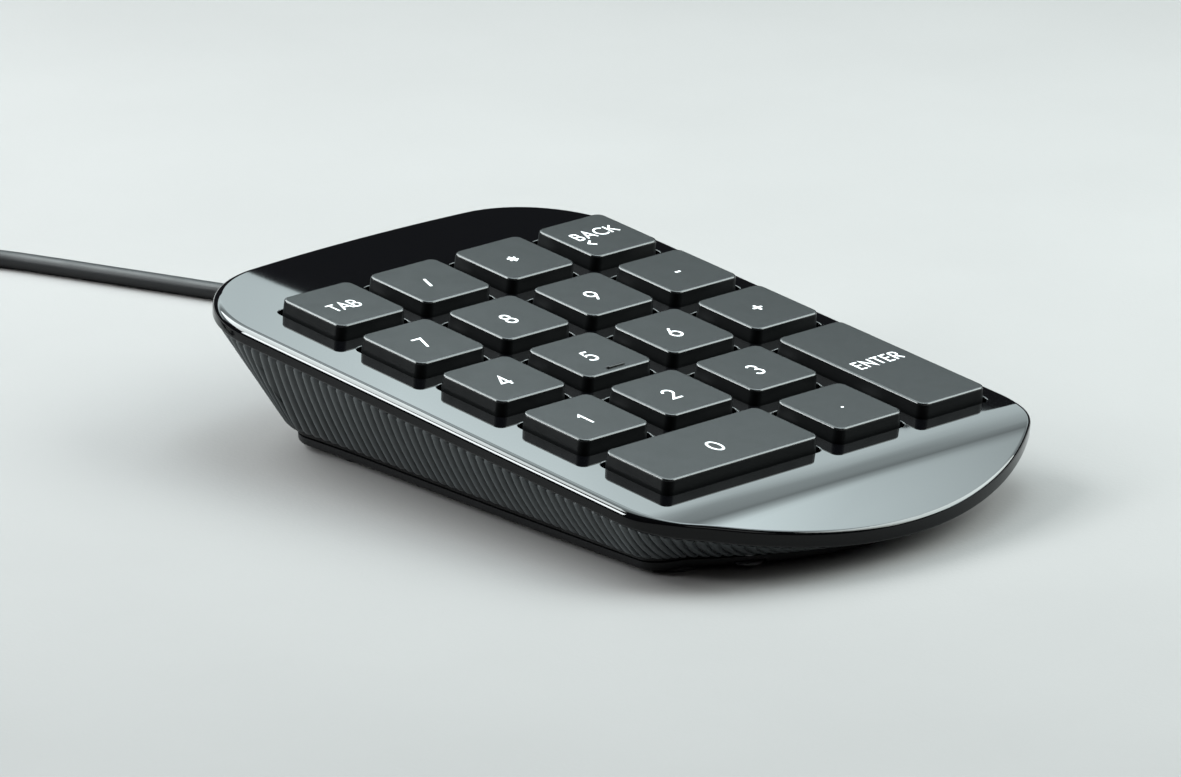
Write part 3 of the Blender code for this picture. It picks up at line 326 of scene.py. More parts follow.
# the CAD pieces that are kept as they are
CAD_MATERIALS = {
    "key_guide_frame": COVER,
    "rubber_dome_sheet": SILICONE,
    "membrane_top_layer": FILM,
    "membrane_bottom_layer": FILM,
    "membrane_spacer": SPACER,
    "backing_plate": STEEL,
    "controller_board": MASK,
    "controller_chip": RESIN,
    "crystal_can": NICKEL,
    "cable_header": NYLON,
    "membrane_clamp_bar": NYLON,
    "clamp_screw_left": SCREW,
    "clamp_screw_right": SCREW,
    "stabiliser_key_0": STEEL,
    "stabiliser_key_enter": STEEL,
    "plug_tongue": NYLON,
    "plug_shell": NICKEL,
    **{f"frame_screw_{n}": SCREW for n in range(1, 6)},
}
for node_name, node_material in CAD_MATERIALS.items():
    slots = NODES[node_name].data.materials
    slots.clear()
    slots.append(node_material)


# ============================================================================================
# Mesh helpers
def bake(name, bm, matrix):
    """A linked object from a mesh in mm, moved out of its frame into metres."""
    bmesh.ops.recalc_face_normals(bm, faces=bm.faces[:])
    bmesh.ops.transform(bm, matrix=matrix, verts=bm.verts[:])
    mesh = bpy.data.meshes.new(name)
    bm.to_mesh(mesh)
    bm.free()
    obj = bpy.data.objects.new(name, mesh)
    bpy.context.scene.collection.objects.link(obj)
    return obj


def shade(obj, sharp):
    obj.data.shade_smooth()
    obj.data.set_sharp_from_angle(angle=math.radians(sharp))


def piece(name, bm, matrix, surface, replaces=None, body="case", sharp=35):
    obj = bake(name, bm, matrix)
    obj.data.materials.append(surface)
    shade(obj, sharp)
    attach(obj, body)
    if replaces:
        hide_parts(replaces)
    return obj


def weigh_normals(obj, weight):
    mod = obj.modifiers.new("weighted", "WEIGHTED_NORMAL")
    mod.keep_sharp = True
    mod.mode = "FACE_AREA"
    mod.weight = weight


def cut(obj, bm, matrix, sharp=None):
    """Takes the shape in bm out of the object and, if asked, shades it again."""
    cutter = bake("temp", bm, matrix)
    mod = obj.modifiers.new("cut", "BOOLEAN")
    mod.operation = "DIFFERENCE"
    mod.solver = "EXACT"
    mod.object = cutter
    bpy.context.view_layer.update()
    graph = bpy.context.evaluated_depsgraph_get()
    mesh = bpy.data.meshes.new_from_object(obj.evaluated_get(graph))
    obj.modifiers.remove(mod)
    old = obj.data
    obj.data = mesh
    bpy.data.meshes.remove(old)
    bpy.data.objects.remove(cutter, do_unlink=True)
    if sharp:
        shade(obj, sharp)


def loft(bm, rings, closed=False):
    """Skin over the rings; a closed loft joins the last to the first, an open one is capped."""
    made = [[bm.verts.new(p) for p in ring] for ring in rings]
    pairs = list(zip(made, made[1:])) + ([(made[-1], made[0])] if closed else [])
    for near, far in pairs:
        for i in range(len(near)):
            j = (i + 1) % len(near)
            bm.faces.new((near[i], near[j], far[j], far[i]))
    if not closed:
        bm.faces.new(made[0])
        bm.faces.new(made[-1])


def rrect(hx, hy, radius, steps):
    """A rounded rectangle of half sizes hx, hy, anticlockwise, 4 (steps + 1) points."""
    x, y = hx - radius, hy - radius
    out = []
    for cx, cy, start in ((x, y, 0), (-x, y, 90), (-x, -y, 180), (x, -y, 270)):
        for k in range(steps + 1):
            angle = math.radians(start + 90 * k / steps)
            out.append((cx + radius * math.cos(angle), cy + radius * math.sin(angle)))
    return out


def rrect_ring(cx, cy, z, hx, hy, radius, steps):
    return [(cx + x, cy + y, z) for x, y in rrect(hx, hy, radius, steps)]


def lathe(profile, segments=48, x=0, y=0):
    """Rings for a profile of (radius, z) turned about the upright axis through x, y."""
    turns = [2 * PI * k / segments for k in range(segments)]
    return [[(x + r * math.cos(a), y + r * math.sin(a), z) for a in turns] for r, z in profile]


def y_circle(x, y, z, radius, segments):
    """A ring that faces along y."""
    turns = [2 * PI * k / segments for k in range(segments)]
    return [(x + radius * math.cos(a), y, z + radius * math.sin(a)) for a in turns]


def quarter(steps):
    """(1 - sin, 1 - cos) through a right angle, for rounded edges."""
    turns = [math.radians(90 * k / steps) for k in range(steps + 1)]
    return [(1 - math.sin(a), 1 - math.cos(a)) for a in turns]


def clamp(x):
    return min(1.0, max(0.0, x))


def smoothstep(start, end, x):
    t = clamp((x - start) / (end - start))
    return t * t * (3 - 2 * t)


# ============================================================================================
# Outline and lip
BACK_TURN = math.asin((HALF_WIDTH - CORNER_RADIUS) / (BACK_RADIUS - CORNER_RADIUS))
CHEEK_TURN = math.acos((HALF_WIDTH - CHEEK_RADIUS) / (FRONT_RADIUS - CHEEK_RADIUS))
CORNER_CENTRE_Y = (
    BACK_Y - BACK_RADIUS * (1 - math.cos(BACK_TURN)) - CORNER_RADIUS * math.cos(BACK_TURN)
)


def outline(back, corner, side, cheek, front):
    """The case in plan as [(point, normal)] from the back's middle by +x, with steps for each run."""
    arcs_y = (
        BACK_RADIUS * (1 - math.cos(BACK_TURN))
        + CORNER_RADIUS * math.cos(BACK_TURN)
        + CHEEK_RADIUS * math.sin(CHEEK_TURN)
        + FRONT_RADIUS * (1 - math.sin(CHEEK_TURN))
    )
    straight = BACK_Y - FRONT_Y - arcs_y
    # radius, start heading, end heading, steps; the straight side holds its length as start
    runs = (
        (BACK_RADIUS, 0, BACK_TURN, back),
        (CORNER_RADIUS, BACK_TURN, PI / 2, corner),
        (None, straight, PI / 2, side),
        (CHEEK_RADIUS, PI / 2, PI / 2 + CHEEK_TURN, cheek),
        (FRONT_RADIUS, PI / 2 + CHEEK_TURN, PI, front),
    )
    x, y = 0.0, BACK_Y
    half = [((x, y), (0.0, 1.0))]
    for radius, start, end, count in runs:
        for n in range(1, count + 1):
            if radius is None:
                at = (x, y - start * n / count)
                head = PI / 2
            else:
                head = start + (end - start) * n / count
                at = (
                    x + radius * (math.sin(head) - math.sin(start)),
                    y - radius * (math.cos(start) - math.cos(head)),
                )
            half.append((at, (math.sin(head), math.cos(head))))
        x, y = at
    return half + [((-p[0], p[1]), (-n[0], n[1])) for p, n in half[-2:0:-1]]


def even_outline(step):
    """The outline at even spacing: [(point, normal, run from the back's middle)]."""
    fine = outline(back=240, corner=240, side=90, cheek=160, front=600)
    total = [0.0]
    for (a, _), (b, _) in zip(fine, fine[1:] + fine[:1]):
        total.append(total[-1] + math.hypot(b[0] - a[0], b[1] - a[1]))
    length = total[-1]
    count = int(round(length / step / 2)) * 2
    out, i = [], 0
    for k in range(count):
        run = length * k / count
        while total[i + 1] < run:
            i += 1
        share = (run - total[i]) / (total[i + 1] - total[i])
        (a, na), (b, nb) = fine[i], fine[(i + 1) % len(fine)]
        point = (a[0] + (b[0] - a[0]) * share, a[1] + (b[1] - a[1]) * share)
        normal = (na[0] + (nb[0] - na[0]) * share, na[1] + (nb[1] - na[1]) * share)
        size = math.hypot(*normal)
        out.append((point, (normal[0] / size, normal[1] / size), min(run, length - run)))
    return out


def inset(point, normal, by):
    return point[0] - normal[0] * by, point[1] - normal[1] * by


def lip_slope(y):
    """Slope of the lip: a slow start, then a soft crease and a long gentle roll to the front."""
    return (
        0.05 * smoothstep(LIP_START, -55.5, y)
        + 0.175 * smoothstep(-54.6, -59.6, y)
        + 0.06 * smoothstep(-59.6, -69.5, y)
    )


LIP_DROPS = [0.0]  # the slope summed from LIP_START forwards
for k in range(1, 2300):
    y = LIP_START - k * LIP_STEP
    LIP_DROPS.append(LIP_DROPS[-1] + LIP_STEP * lip_slope(y + LIP_STEP / 2))


def lip_drop(y):
    if y >= LIP_START:
        return 0.0
    k = (LIP_START - y) / LIP_STEP
    i = min(int(k), len(LIP_DROPS) - 2)
    return LIP_DROPS[i] + (LIP_DROPS[i + 1] - LIP_DROPS[i]) * (k - i)


def to_desk(x, y, z):
    """From KEY_PLANE to DESK, both in mm."""
    c, s = math.cos(TILT), math.sin(TILT)
    return x, y * c - z * s, y * s + z * c + KEY_PLANE_Z


def wall_point(point, normal, by, z):
    """A point in DESK at this inset and height in KEY_PLANE, dropped with the lip."""
    x, y = inset(point, normal, by)
    return to_desk(x, y, z - lip_drop(y))


def wall_top(point, normal):
    return wall_point(point, normal, SEAM_INSET, BAND_BOTTOM - SEAM)


def rim_at(point, normal, top):
    """Where the wall under this point meets the rim. The rear corners tuck in more than the sides."""
    side = 1 if point[0] >= 0 else -1
    if normal[1] > 0.002:
        head = math.acos(min(1.0, normal[1]))
        if head <= BACK_TURN + 1e-6:
            share = abs(point[0]) / (BACK_RADIUS * math.sin(BACK_TURN))
            bow = RIM_CORNER_X**2 / (2 * BACK_RADIUS) * (1 - share * share)
            x = side * share * (RIM_CORNER_X + RIM_CORNER_R * math.sin(BACK_TURN))
            return x, RIM_CORNER_Y + RIM_CORNER_R * math.cos(BACK_TURN) + bow
        x = side * (RIM_CORNER_X + RIM_CORNER_R * math.sin(head))
        return x, RIM_CORNER_Y + RIM_CORNER_R * math.cos(head)
    front = smoothstep(0.0, 1.0, -normal[1])
    x, y = inset(top[:2], normal, (top[2] - RIM_Z) * SIDE_SLOPE + FRONT_UNDERCUT * front)
    rear = clamp((point[1] + 20.0) / (CORNER_CENTRE_Y + 20.0))
    x = side * (abs(x) + (RIM_CORNER_X + RIM_CORNER_R - abs(x)) * rear**3)
    return x, y - (CORNER_CENTRE_Y - RIM_CORNER_Y) * rear


# ============================================================================================
# Case
def key_centre(column, row, wide, tall):
    return ((column + (wide - 1) / 2) - 1.5) * PITCH, (2 - row - (tall - 1) / 2) * PITCH


def key_half_size(wide, tall):
    return (KEY_TOP + (wide - 1) * PITCH) / 2, (KEY_TOP + (tall - 1) * PITCH) / 2


def bezel_shell():
    """The gloss plate and its skirt, bent down along the lip."""
    line = outline(back=12, corner=26, side=30, cheek=22, front=64)
    rings = []
    for across_part, down_part in quarter(8):
        ring = []
        for point, normal in line:
            # the shoulder is tighter along the front than along the sides
            radius = BEZEL_ROUND * (1 - 0.55 * smoothstep(0.15, 0.7, -normal[1]))
            x, y = inset(point, normal, radius * across_part)
            ring.append((x, y, BEZEL_TOP - radius * down_part))
        rings.append(ring)
    # inset, z: round the foot of the skirt and up its inner side
    for by, z in (
        (0.0, BAND_BOTTOM + 0.25),
        (0.07, BAND_BOTTOM + 0.07),
        (0.25, BAND_BOTTOM),
        (SKIRT_THICK, BAND_BOTTOM),
        (SKIRT_THICK, BEZEL_TOP - BEZEL_THICK),
    ):
        rings.append([(*inset(point, normal, by), z) for point, normal in line])
    bm = bmesh.new()
    loft(bm, rings)
    # cross cuts let the flat faces follow the lip
    y = LIP_START - 0.1
    while y > -69.4:
        bmesh.ops.bisect_plane(
            bm,
            geom=bm.verts[:] + bm.edges[:] + bm.faces[:],
            plane_co=(0, y, 0),
            plane_no=(0, 1, 0),
            dist=1e-5,
        )
        y -= 0.4
    for v in bm.verts:
        v.co.z -= lip_drop(v.co.y)
    return piece("bezel_gloss", bm, KEY_PLANE, GLOSS, "top_bezel")


def cut_key_holes(bezel):
    # offset, z
    levels = [(HOLE_FILLET, BEZEL_TOP + 1.0)]
    levels += [(HOLE_FILLET * out, BEZEL_TOP - HOLE_FILLET * down) for out, down in quarter(6)]
    levels.append((0.0, -8.0))
    bm = bmesh.new()
    for _, *place in KEYS:
        cx, cy = key_centre(*place)
        hx, hy = (half + HOLE_GAP for half in key_half_size(*place[2:]))
        loft(bm, [
            rrect_ring(cx, cy, z, hx + off, hy + off, HOLE_CORNER + off, 7) for off, z in levels
        ])
    cut(bezel, bm, KEY_BLOCK, sharp=32)


def make_bezel():
    obj = bezel_shell()
    cut_key_holes(obj)
    obj.data.materials.append(GLOSS_EDGE)
    # the flat keeps its own normals, so that it mirrors truly, and the skirt takes the calmer finish
    up = (KEY_PLANE.to_3x3() @ Vector((0, 0, 1))).normalized()
    bm = bmesh.new()
    bm.from_mesh(obj.data)
    bm.normal_update()
    for e in bm.edges:
        if len(e.link_faces) == 2:
            one, other = (f.normal for f in e.link_faces)
            borders_flat = (one.dot(up) > 0.9999995) != (other.dot(up) > 0.9999995)
            if borders_flat and one.dot(other) < 0.99995:
                e.smooth = False
    for f in bm.faces:
        if abs(f.normal.dot(up)) < 0.35:
            f.material_index = 1
    bm.to_mesh(obj.data)
    bm.free()
    weigh_normals(obj, 100)


RIB_LEVELS = [k / 24 for k in range(25)]


def case_section(point, normal, run):
    """The wall's section at one place: down the ribbed outside, then up the inside."""
    top = wall_top(point, normal)
    rim = rim_at(point, normal, top)
    drop = top[2] - RIM_Z
    y = point[1]
    deep = RIB_DEEP * smoothstep(0.9, 4.2, drop)
    end = 0.87 + 0.06 * smoothstep(-40.0, 40.0, y)  # share of the wall that has ribs
    # the ribs slant by lead and bend by sweep, both fading at the back's middle
    lead = -2.05 - 0.0565 * max(-62.0, min(52.0, y))
    sweep = 3.2 + 0.010 * max(0.0, -y)
    calm = smoothstep(0.0, 26.0, run)
    lean = 4.55 * clamp((y + 20.0) / 62.5) * calm  # the columns themselves lean forward here

    def wall(t, depth):
        at = (top[0] + (rim[0] - top[0]) * t, top[1] + (rim[1] - top[1]) * t)
        return (*inset(at, normal, depth), top[2] - drop * t)

    section = []
    for share in RIB_LEVELS:
        t = share * end
        shift = (lead * t + sweep * t * t) * calm - lean * t
        u = ((run - shift) / RIB_PITCH) % 1.0
        u = min(1.0, abs(2 * u - 1) / 0.84)
        depth = deep * (1 - math.sqrt(max(0.0, 1 - u * u)))
        # the ribs round off into the seam and at their lower ends
        depth += 0.30 * (1 - smoothstep(0.0, 0.05, share))
        if share > 0.96:
            depth += 0.25 * (1 - math.sqrt(max(0.0, 1 - ((share - 0.96) / 0.04) ** 2)))
        section.append(wall(t, depth))
    section.append(wall(end + 0.004, deep + 0.35))
    section.append(wall(0.985, deep * 0.6 + 0.35))
    section.append(wall(1.0, deep * 0.6 + 0.55))
    section.append((*inset(rim, normal, WALL), RIM_Z))
    section.append(wall_point(point, normal, 3.3, BAND_BOTTOM - SEAM + 0.83))
    section.append(wall_point(point, normal, 2.15, BAND_BOTTOM - SEAM + 0.83))
    section.append(wall_point(point, normal, 2.15, BAND_BOTTOM - SEAM))
    return section


def make_lower_case():
    sections = [case_section(*place) for place in even_outline(RIB_PITCH / 12)]
    bm = bmesh.new()
    loft(bm, list(zip(*sections)), closed=True)
    # the faces from the foot of the ribs down, the rim and the inside take the near-black base
    # plastic, so the wall turns much darker below its ribs
    ribbed = (len(RIB_LEVELS) - 1) * len(sections)
    for i, face in enumerate(bm.faces):
        face.material_index = 1 if i >= ribbed else 0
    obj = piece("lower_case_ribbed", bm, DESK, RIBS, "lower_case", sharp=60)
    obj.data.materials.append(COVER)
    # the cable's hole through the back wall
    bm = bmesh.new()
    loft(bm, [y_circle(CABLE_X, y, CABLE_Z, CABLE_HOLE_RADIUS, 40) for y in (40.0, 70.0)])
    cut(obj, bm, DESK, sharp=60)


# ============================================================================================
# Underside
def make_base_cover():
    edge = [(rim_at(p, n, wall_top(p, n)), n) for p, n, _ in even_outline(1.2)]
    # inset from the rim, z
    profile = (
        (1.0, 2.3), (1.0, 1.55), (1.08, 1.25), (1.3, 1.0), (1.62, 0.85),
        (2.1, 0.8), (4.2, 0.8), (4.4, 0.86), (4.5, 1.0), (4.5, 1.1),
    )
    bm = bmesh.new()
    loft(bm, [[(*inset(p, n, by), z) for p, n in edge] for by, z in profile])
    obj = piece("base_cover_fine", bm, DESK, COVER, "base_cover")
    bm = bmesh.new()
    for places, radius, top, segments in (
        (FEET, FOOT_POCKET_RADIUS, FOOT_TOP, 48),
        (BASE_SCREWS, SCREW_POCKET_RADIUS, SCREW_POCKET_TOP, 36),
    ):
        for _, x, y in places:
            loft(bm, lathe(((radius, -1.0), (radius, top)), segments, x, y))
    cut(obj, bm, DESK, sharp=32)


def make_feet():
    # radius, z: from the hidden top, round the lower edge, to the hollow underneath
    profile = [(0.01, FOOT_TOP), (4.6, FOOT_TOP), (FOOT_RADIUS, 1.2), (FOOT_RADIUS, 0.55)]
    profile += [(FOOT_RADIUS - FOOT_ROUND * b, FOOT_ROUND * a) for a, b in quarter(6)]
    profile += [(3.0, 0.0), (2.85, 0.12), (2.6, 0.16), (0.01, 0.16)]
    for name, x, y in FEET:
        bm = bmesh.new()
        loft(bm, lathe(profile, 56, x, y))
        piece(name + "_pad", bm, DESK, RUBBER, name)


def make_base_screws():
    # radius, z: tip, shank, then the domed head below
    profile = (
        (0.01, 8.0), (0.9, 7.4), (1.05, 6.6), (1.05, 1.7), (2.3, 1.65),
        (2.45, 1.5), (2.42, 1.25), (2.2, 1.02), (1.7, 0.88), (0.01, 0.84),
    )
    slot_levels = ((1.35, 0.28, 0.5), (1.3, 0.26, 0.9), (0.55, 0.2, 1.5))  # half sizes, z
    for name, x, y in BASE_SCREWS:
        bm = bmesh.new()
        loft(bm, lathe(profile, 36, x, y))
        screw = piece(name + "_head", bm, DESK, SCREW, name)
        for turn in (0, 90):
            angle = math.radians(turn + SCREW_CROSS_TURN)
            c, s = math.cos(angle), math.sin(angle)
            lift = 0.001 * turn / 90  # keeps the two slots from sharing a plane
            bm = bmesh.new()
            loft(bm, [
                [
                    (x + c * a - s * b, y + s * a + c * b, z + lift)
                    for a, b in ((-w, -h), (w, -h), (w, h), (-w, h))
                ]
                for w, h, z in slot_levels
            ])
            cut(screw, bm, DESK)
        shade(screw, 32)


# ============================================================================================
# Keys
def make_key(name, column, row, wide, tall):
    hx, hy = key_half_size(wide, tall)
    cx, cy = key_centre(column, row, wide, tall)
    # offset from the top's outline, z: over the top, down the flared side, up inside
    levels = [(-2.2, 0.0), (-KEY_EDGE_ROUND - 0.25, 0.0)]
    levels += [(-KEY_EDGE_ROUND * a, -KEY_EDGE_ROUND * b) for a, b in quarter(5)]
    levels += [
        (KEY_FLARE * 0.45, -2.2), (KEY_FLARE, -KEY_TALL + 0.12), (KEY_FLARE - 0.12, -KEY_TALL),
        (-0.85, -KEY_TALL), (-1.0, -KEY_TALL + 0.15), (-1.0, -1.6), (-1.3, -1.3),
    ]
    rings = [
        rrect_ring(cx, cy, z, hx + off, hy + off, max(0.35, KEY_ROUND + off), 9)
        for off, z in levels
    ]
    bm = bmesh.new()
    loft(bm, rings)
    # bands 2 to 6 are the rounded edge, in the lighter edge copy whose colour is a painted highlight,
    # 7 and 8 the side, in the darker side copy whose colour is painted shade
    bm.faces.ensure_lookup_table()
    count = len(rings[0])
    for i in range(2 * count, 9 * count):
        bm.faces[i].material_index = 1 if i < 7 * count else 2
    # plunger and dome post under the roof
    plunger = ((3.9, -1.2), (3.9, -5.8), (3.8, -5.95), (3.3, -5.95), (3.2, -5.8), (3.2, -1.2))
    loft(bm, lathe(plunger, 40, cx, cy), closed=True)
    loft(bm, lathe(((1.3, -1.2), (1.3, -4.45), (1.15, -4.6)), 24, cx, cy))
    # the long keys have a square peg towards each end
    if name in ("key_0", "key_enter"):
        for side in (-1, 1):
            dx, dy = (side * 11.7, -0.61) if name == "key_0" else (-0.61, side * 11.7)
            loft(bm, [rrect_ring(cx + dx, cy + dy, z, 0.7, 0.7, 0.2, 3) for z in (-1.2, -3.45)])
    cap = piece(name + "_cap", bm, KEY_BLOCK, KEY_FACE, name, body=name, sharp=40)
    weigh_normals(cap, 80)
    # slot 1 is the lighter edge copy with its painted highlight, slot 2 the darker side copy with its
    # painted shade
    cap.data.materials.append(KEY_EDGE_PAINTED_HIGHLIGHT)
    cap.data.materials.append(KEY_SIDE_PAINTED_SHADE)
    if name == "key_5":
        make_homing_bar(name, cx, cy - 5.94)


def make_homing_bar(key, cx, cy):
    # offset, z
    levels = ((0, -0.1), (0, 0.16), (-0.04, 0.24), (-0.12, 0.30), (-0.2, 0.32))
    bm = bmesh.new()
    loft(bm, [
        rrect_ring(cx, cy, z, 1.9 + off, 0.3 + off, max(0.08, 0.28 + off), 5) for off, z in levels
    ])
    piece(key + "_homing_bar", bm, KEY_BLOCK, KEY_FACE, body=key, sharp=50)


# ---- legends: strokes on a unit grid, cap height 1 --------------------------------------------
def arc(cx, cy, rx, ry, start, end, steps=14):
    turns = [math.radians(start + (end - start) * k / steps) for k in range(steps + 1)]
    return [(cx + rx * math.cos(a), cy + ry * math.sin(a)) for a in turns]


def oval(cx, cy, rx, ry):
    return arc(cx, cy, rx, ry, 90, 450, 28)


# width, strokes
GLYPHS = {
    "0": (0.66, [oval(0.33, 0.5, 0.30, 0.48)]),
    "1": (0.34, [[(0.04, 0.80), (0.24, 0.97), (0.24, 0.0)]]),
    "2": (0.62, [arc(0.30, 0.70, 0.26, 0.28, 172, -28) + [(0.04, 0.02), (0.60, 0.02)]]),
    "3": (0.60, [arc(0.28, 0.745, 0.23, 0.235, 150, -90), arc(0.28, 0.27, 0.27, 0.25, 90, -155)]),
    "4": (0.66, [[(0.48, 0.0), (0.48, 0.95), (0.04, 0.25), (0.64, 0.25)]]),
    "5": (0.60, [
        [(0.54, 0.97), (0.19, 0.97), (0.12, 0.55)] + arc(0.27, 0.31, 0.29, 0.30, 118, -152),
    ]),
    "6": (0.64, [oval(0.32, 0.31, 0.28, 0.29), [(0.075, 0.44), (0.43, 0.99)]]),
    "7": (0.60, [[(0.03, 0.97), (0.57, 0.97), (0.20, 0.0)]]),
    "8": (0.60, [oval(0.30, 0.745, 0.215, 0.225), oval(0.30, 0.27, 0.265, 0.25)]),
    "9": (0.64, [oval(0.32, 0.68, 0.28, 0.29), [(0.565, 0.55), (0.21, 0.0)]]),
    "+": (0.62, [[(0.04, 0.5), (0.58, 0.5)], [(0.31, 0.23), (0.31, 0.77)]]),
    "-": (0.50, [[(0.08, 0.5), (0.42, 0.5)]]),
    "*": (0.60, [
        [(0.30, 0.22), (0.30, 0.78)],
        [(0.06, 0.36), (0.54, 0.64)],
        [(0.06, 0.64), (0.54, 0.36)],
    ]),
    "/": (0.42, [[(0.04, 0.02), (0.38, 0.98)]]),
    ".": (0.16, []),
    "<": (0.60, [[(0.54, 0.92), (0.05, 0.5), (0.54, 0.08)]]),
    "T": (0.58, [[(0.0, 0.97), (0.58, 0.97)], [(0.29, 0.97), (0.29, 0.0)]]),
    "A": (0.76, [[(0.0, 0.0), (0.38, 0.97), (0.76, 0.0)], [(0.15, 0.33), (0.61, 0.33)]]),
    "B": (0.56, [
        [(0.04, 0.0), (0.04, 0.97)],
        [(0.04, 0.97)] + arc(0.24, 0.74, 0.23, 0.23, 90, -90) + [(0.04, 0.51)],
        [(0.20, 0.51)] + arc(0.28, 0.27, 0.25, 0.25, 90, -90) + [(0.04, 0.02)],
    ]),
    "C": (0.80, [arc(0.50, 0.5, 0.47, 0.48, 48, 312, 24)]),
    "K": (0.62, [
        [(0.04, 0.0), (0.04, 0.98)],
        [(0.56, 0.97), (0.07, 0.46)],
        [(0.20, 0.58), (0.62, 0.0)],
    ]),
    "E": (0.50, [
        [(0.48, 0.97), (0.04, 0.97), (0.04, 0.03), (0.48, 0.03)],
        [(0.04, 0.52), (0.44, 0.52)],
    ]),
    "N": (0.70, [[(0.04, 0.0), (0.04, 0.95), (0.66, 0.05), (0.66, 1.0)]]),
    "R": (0.56, [
        [(0.04, 0.0), (0.04, 0.97)],
        [(0.04, 0.97)] + arc(0.26, 0.72, 0.25, 0.25, 90, -90) + [(0.04, 0.47)],
        [(0.24, 0.46), (0.56, 0.0)],
    ]),
}

# name, text, key, place from the key's middle x, y, cap height, stroke width, total width or None
LEGENDS = [(digit, digit, digit, -0.8, -0.6, 3.45, 0.42, None) for digit in "123456789"] + [
    ("0", "0", "0", -0.5, -1.1, 3.45, 0.42, None),
    ("decimal", ".", "decimal", -0.1, -0.7, 3.4, 0.42, None),
    ("plus", "+", "plus", -0.3, -0.3, 3.6, 0.46, None),
    ("minus", "-", "minus", -0.3, -0.5, 3.2, 0.46, None),
    ("multiply", "*", "multiply", -0.8, -0.4, 3.6, 0.42, None),
    ("divide", "/", "divide", -1.1, -0.6, 3.0, 0.46, None),
    ("tab", "TAB", "tab", -0.7, -0.7, 2.75, 0.33, 5.9),
    ("back", "BACK", "back", 0.1, 0.9, 2.75, 0.35, 9.3),
    ("back_mark", "<", "back", -3.6, -2.2, 2.2, 0.42, None),
    ("enter", "ENTER", "enter", 0.0, 0.8, 2.75, 0.36, 9.9),
]
INK_HALF = 0.03  # the ink reaches this far above and below the key's top


def stroke_edges(points, half):
    """Left and right edges of a stroke with mitred corners and flat ends, and whether it closes."""
    closed = math.dist(points[0], points[-1]) < 1e-6
    if closed:
        points = points[:-1]
    count = len(points)
    left, right = [], []
    for i, here in enumerate(points):
        before = points[i - 1] if closed or i > 0 else None
        after = points[(i + 1) % count] if closed or i < count - 1 else None
        ways = []
        for p, q in ((before, here), (here, after)):
            if p and q:
                way = (q[0] - p[0], q[1] - p[1])
                size = math.hypot(*way)
                ways.append((way[0] / size, way[1] / size))
        nx, ny = -ways[0][1], ways[0][0]
        if len(ways) == 2:
            nx, ny = -(ways[0][1] + ways[1][1]), ways[0][0] + ways[1][0]
            size = math.hypot(nx, ny)
            nx, ny = nx / size, ny / size
            cosine = max(0.36, nx * -ways[0][1] + ny * ways[0][0])
            nx, ny = nx / cosine, ny / cosine
        left.append((here[0] + nx * half, here[1] + ny * half))
        right.append((here[0] - nx * half, here[1] - ny * half))
    return left, right, closed


def make_legend(name, text, key, at, cap, stroke, width):
    """Raised ink, one solid strip for each stroke, centred on at."""
    widths = [GLYPHS[c][0] for c in text]
    gap = (width / cap - sum(widths)) / (len(text) - 1) if width else 0.0
    x0 = -(sum(widths) + gap * (len(text) - 1)) / 2
    bm = bmesh.new()
    for c in text:
        glyph_width, strokes = GLYPHS[c]
        if c == ".":
            radius = stroke * 0.62
            loft(bm, lathe(((radius, -INK_HALF), (radius, INK_HALF)), 24, *at))
        for k, line in enumerate(strokes):
            points = [(at[0] + (x0 + x) * cap, at[1] + (y - 0.5) * cap) for x, y in line]
            left, right, closed = stroke_edges(points, stroke / 2)
            low, high = -INK_HALF, INK_HALF + 0.0006 * k  # crossing strokes differ in height
            sections = [
                [(*a, low), (*b, low), (*b, high), (*a, high)] for a, b in zip(left, right)
            ]
            loft(bm, sections, closed=closed)
        x0 += glyph_width + gap
    piece(name, bm, KEY_BLOCK, INK, body=key, sharp=30)


def make_keys():
    for key in KEYS:
        make_key(*key)
    centres = {name: key_centre(*place) for name, *place in KEYS}
    for name, text, label, dx, dy, cap, stroke, width in LEGENDS:
        key = "key_" + label
        cx, cy = centres[key]
        make_legend("legend_" + name, text, key, (cx + dx, cy + dy), cap, stroke, width)


# ============================================================================================
# Cable, strain relief and plug
def smooth_path(points, steps):
    """A Catmull-Rom curve through the points."""
    points = [Vector(p) for p in points]
    ends = [2 * points[0] - points[1]] + points + [2 * points[-1] - points[-2]]
    out = []
    for i in range(1, len(ends) - 2):
        p0, p1, p2, p3 = ends[i - 1 : i + 3]
        for k in range(steps):
            t = k / steps
            square = (2 * p0 - 5 * p1 + 4 * p2 - p3) * t * t
            cube = (3 * p1 - p0 - 3 * p2 + p3) * t ** 3
            out.append(0.5 * (2 * p1 + (p2 - p0) * t + square + cube))
    return out + [points[-1]]


def tube(bm, path, radius, segments=24):
    """A round tube along the path, its sections turned as little as possible."""
    tangents = []
    for i in range(len(path)):
        before, after = path[max(0, i - 1)], path[min(len(path) - 1, i + 1)]
        tangents.append((after - before).normalized())
    side = tangents[0].cross(Vector((0, 0, 1))).normalized()
    turns = [2 * PI * k / segments for k in range(segments)]
    rings = []
    for p, tangent in zip(path, tangents):
        side = (side - tangent * side.dot(tangent)).normalized()
        up = tangent.cross(side)
        rings.append([p + (side * math.cos(a) + up * math.sin(a)) * radius for a in turns])
    loft(bm, rings)


def make_cable_jacket():
    head = Vector((-math.sin(PLUG_HEADING), math.cos(PLUG_HEADING), 0))
    path = [Vector((CABLE_X, y, CABLE_Z)) for y in CABLE_INSIDE_Y]
    path += smooth_path(CABLE_PATH, 8)
    path += [Vector(PLUG_AT) + head * d for d in (1.0, 6.0)]
    bm = bmesh.new()
    tube(bm, path, CABLE_RADIUS)
    piece("cable_jacket", bm, DESK, CABLE, "usb_cable", sharp=40)


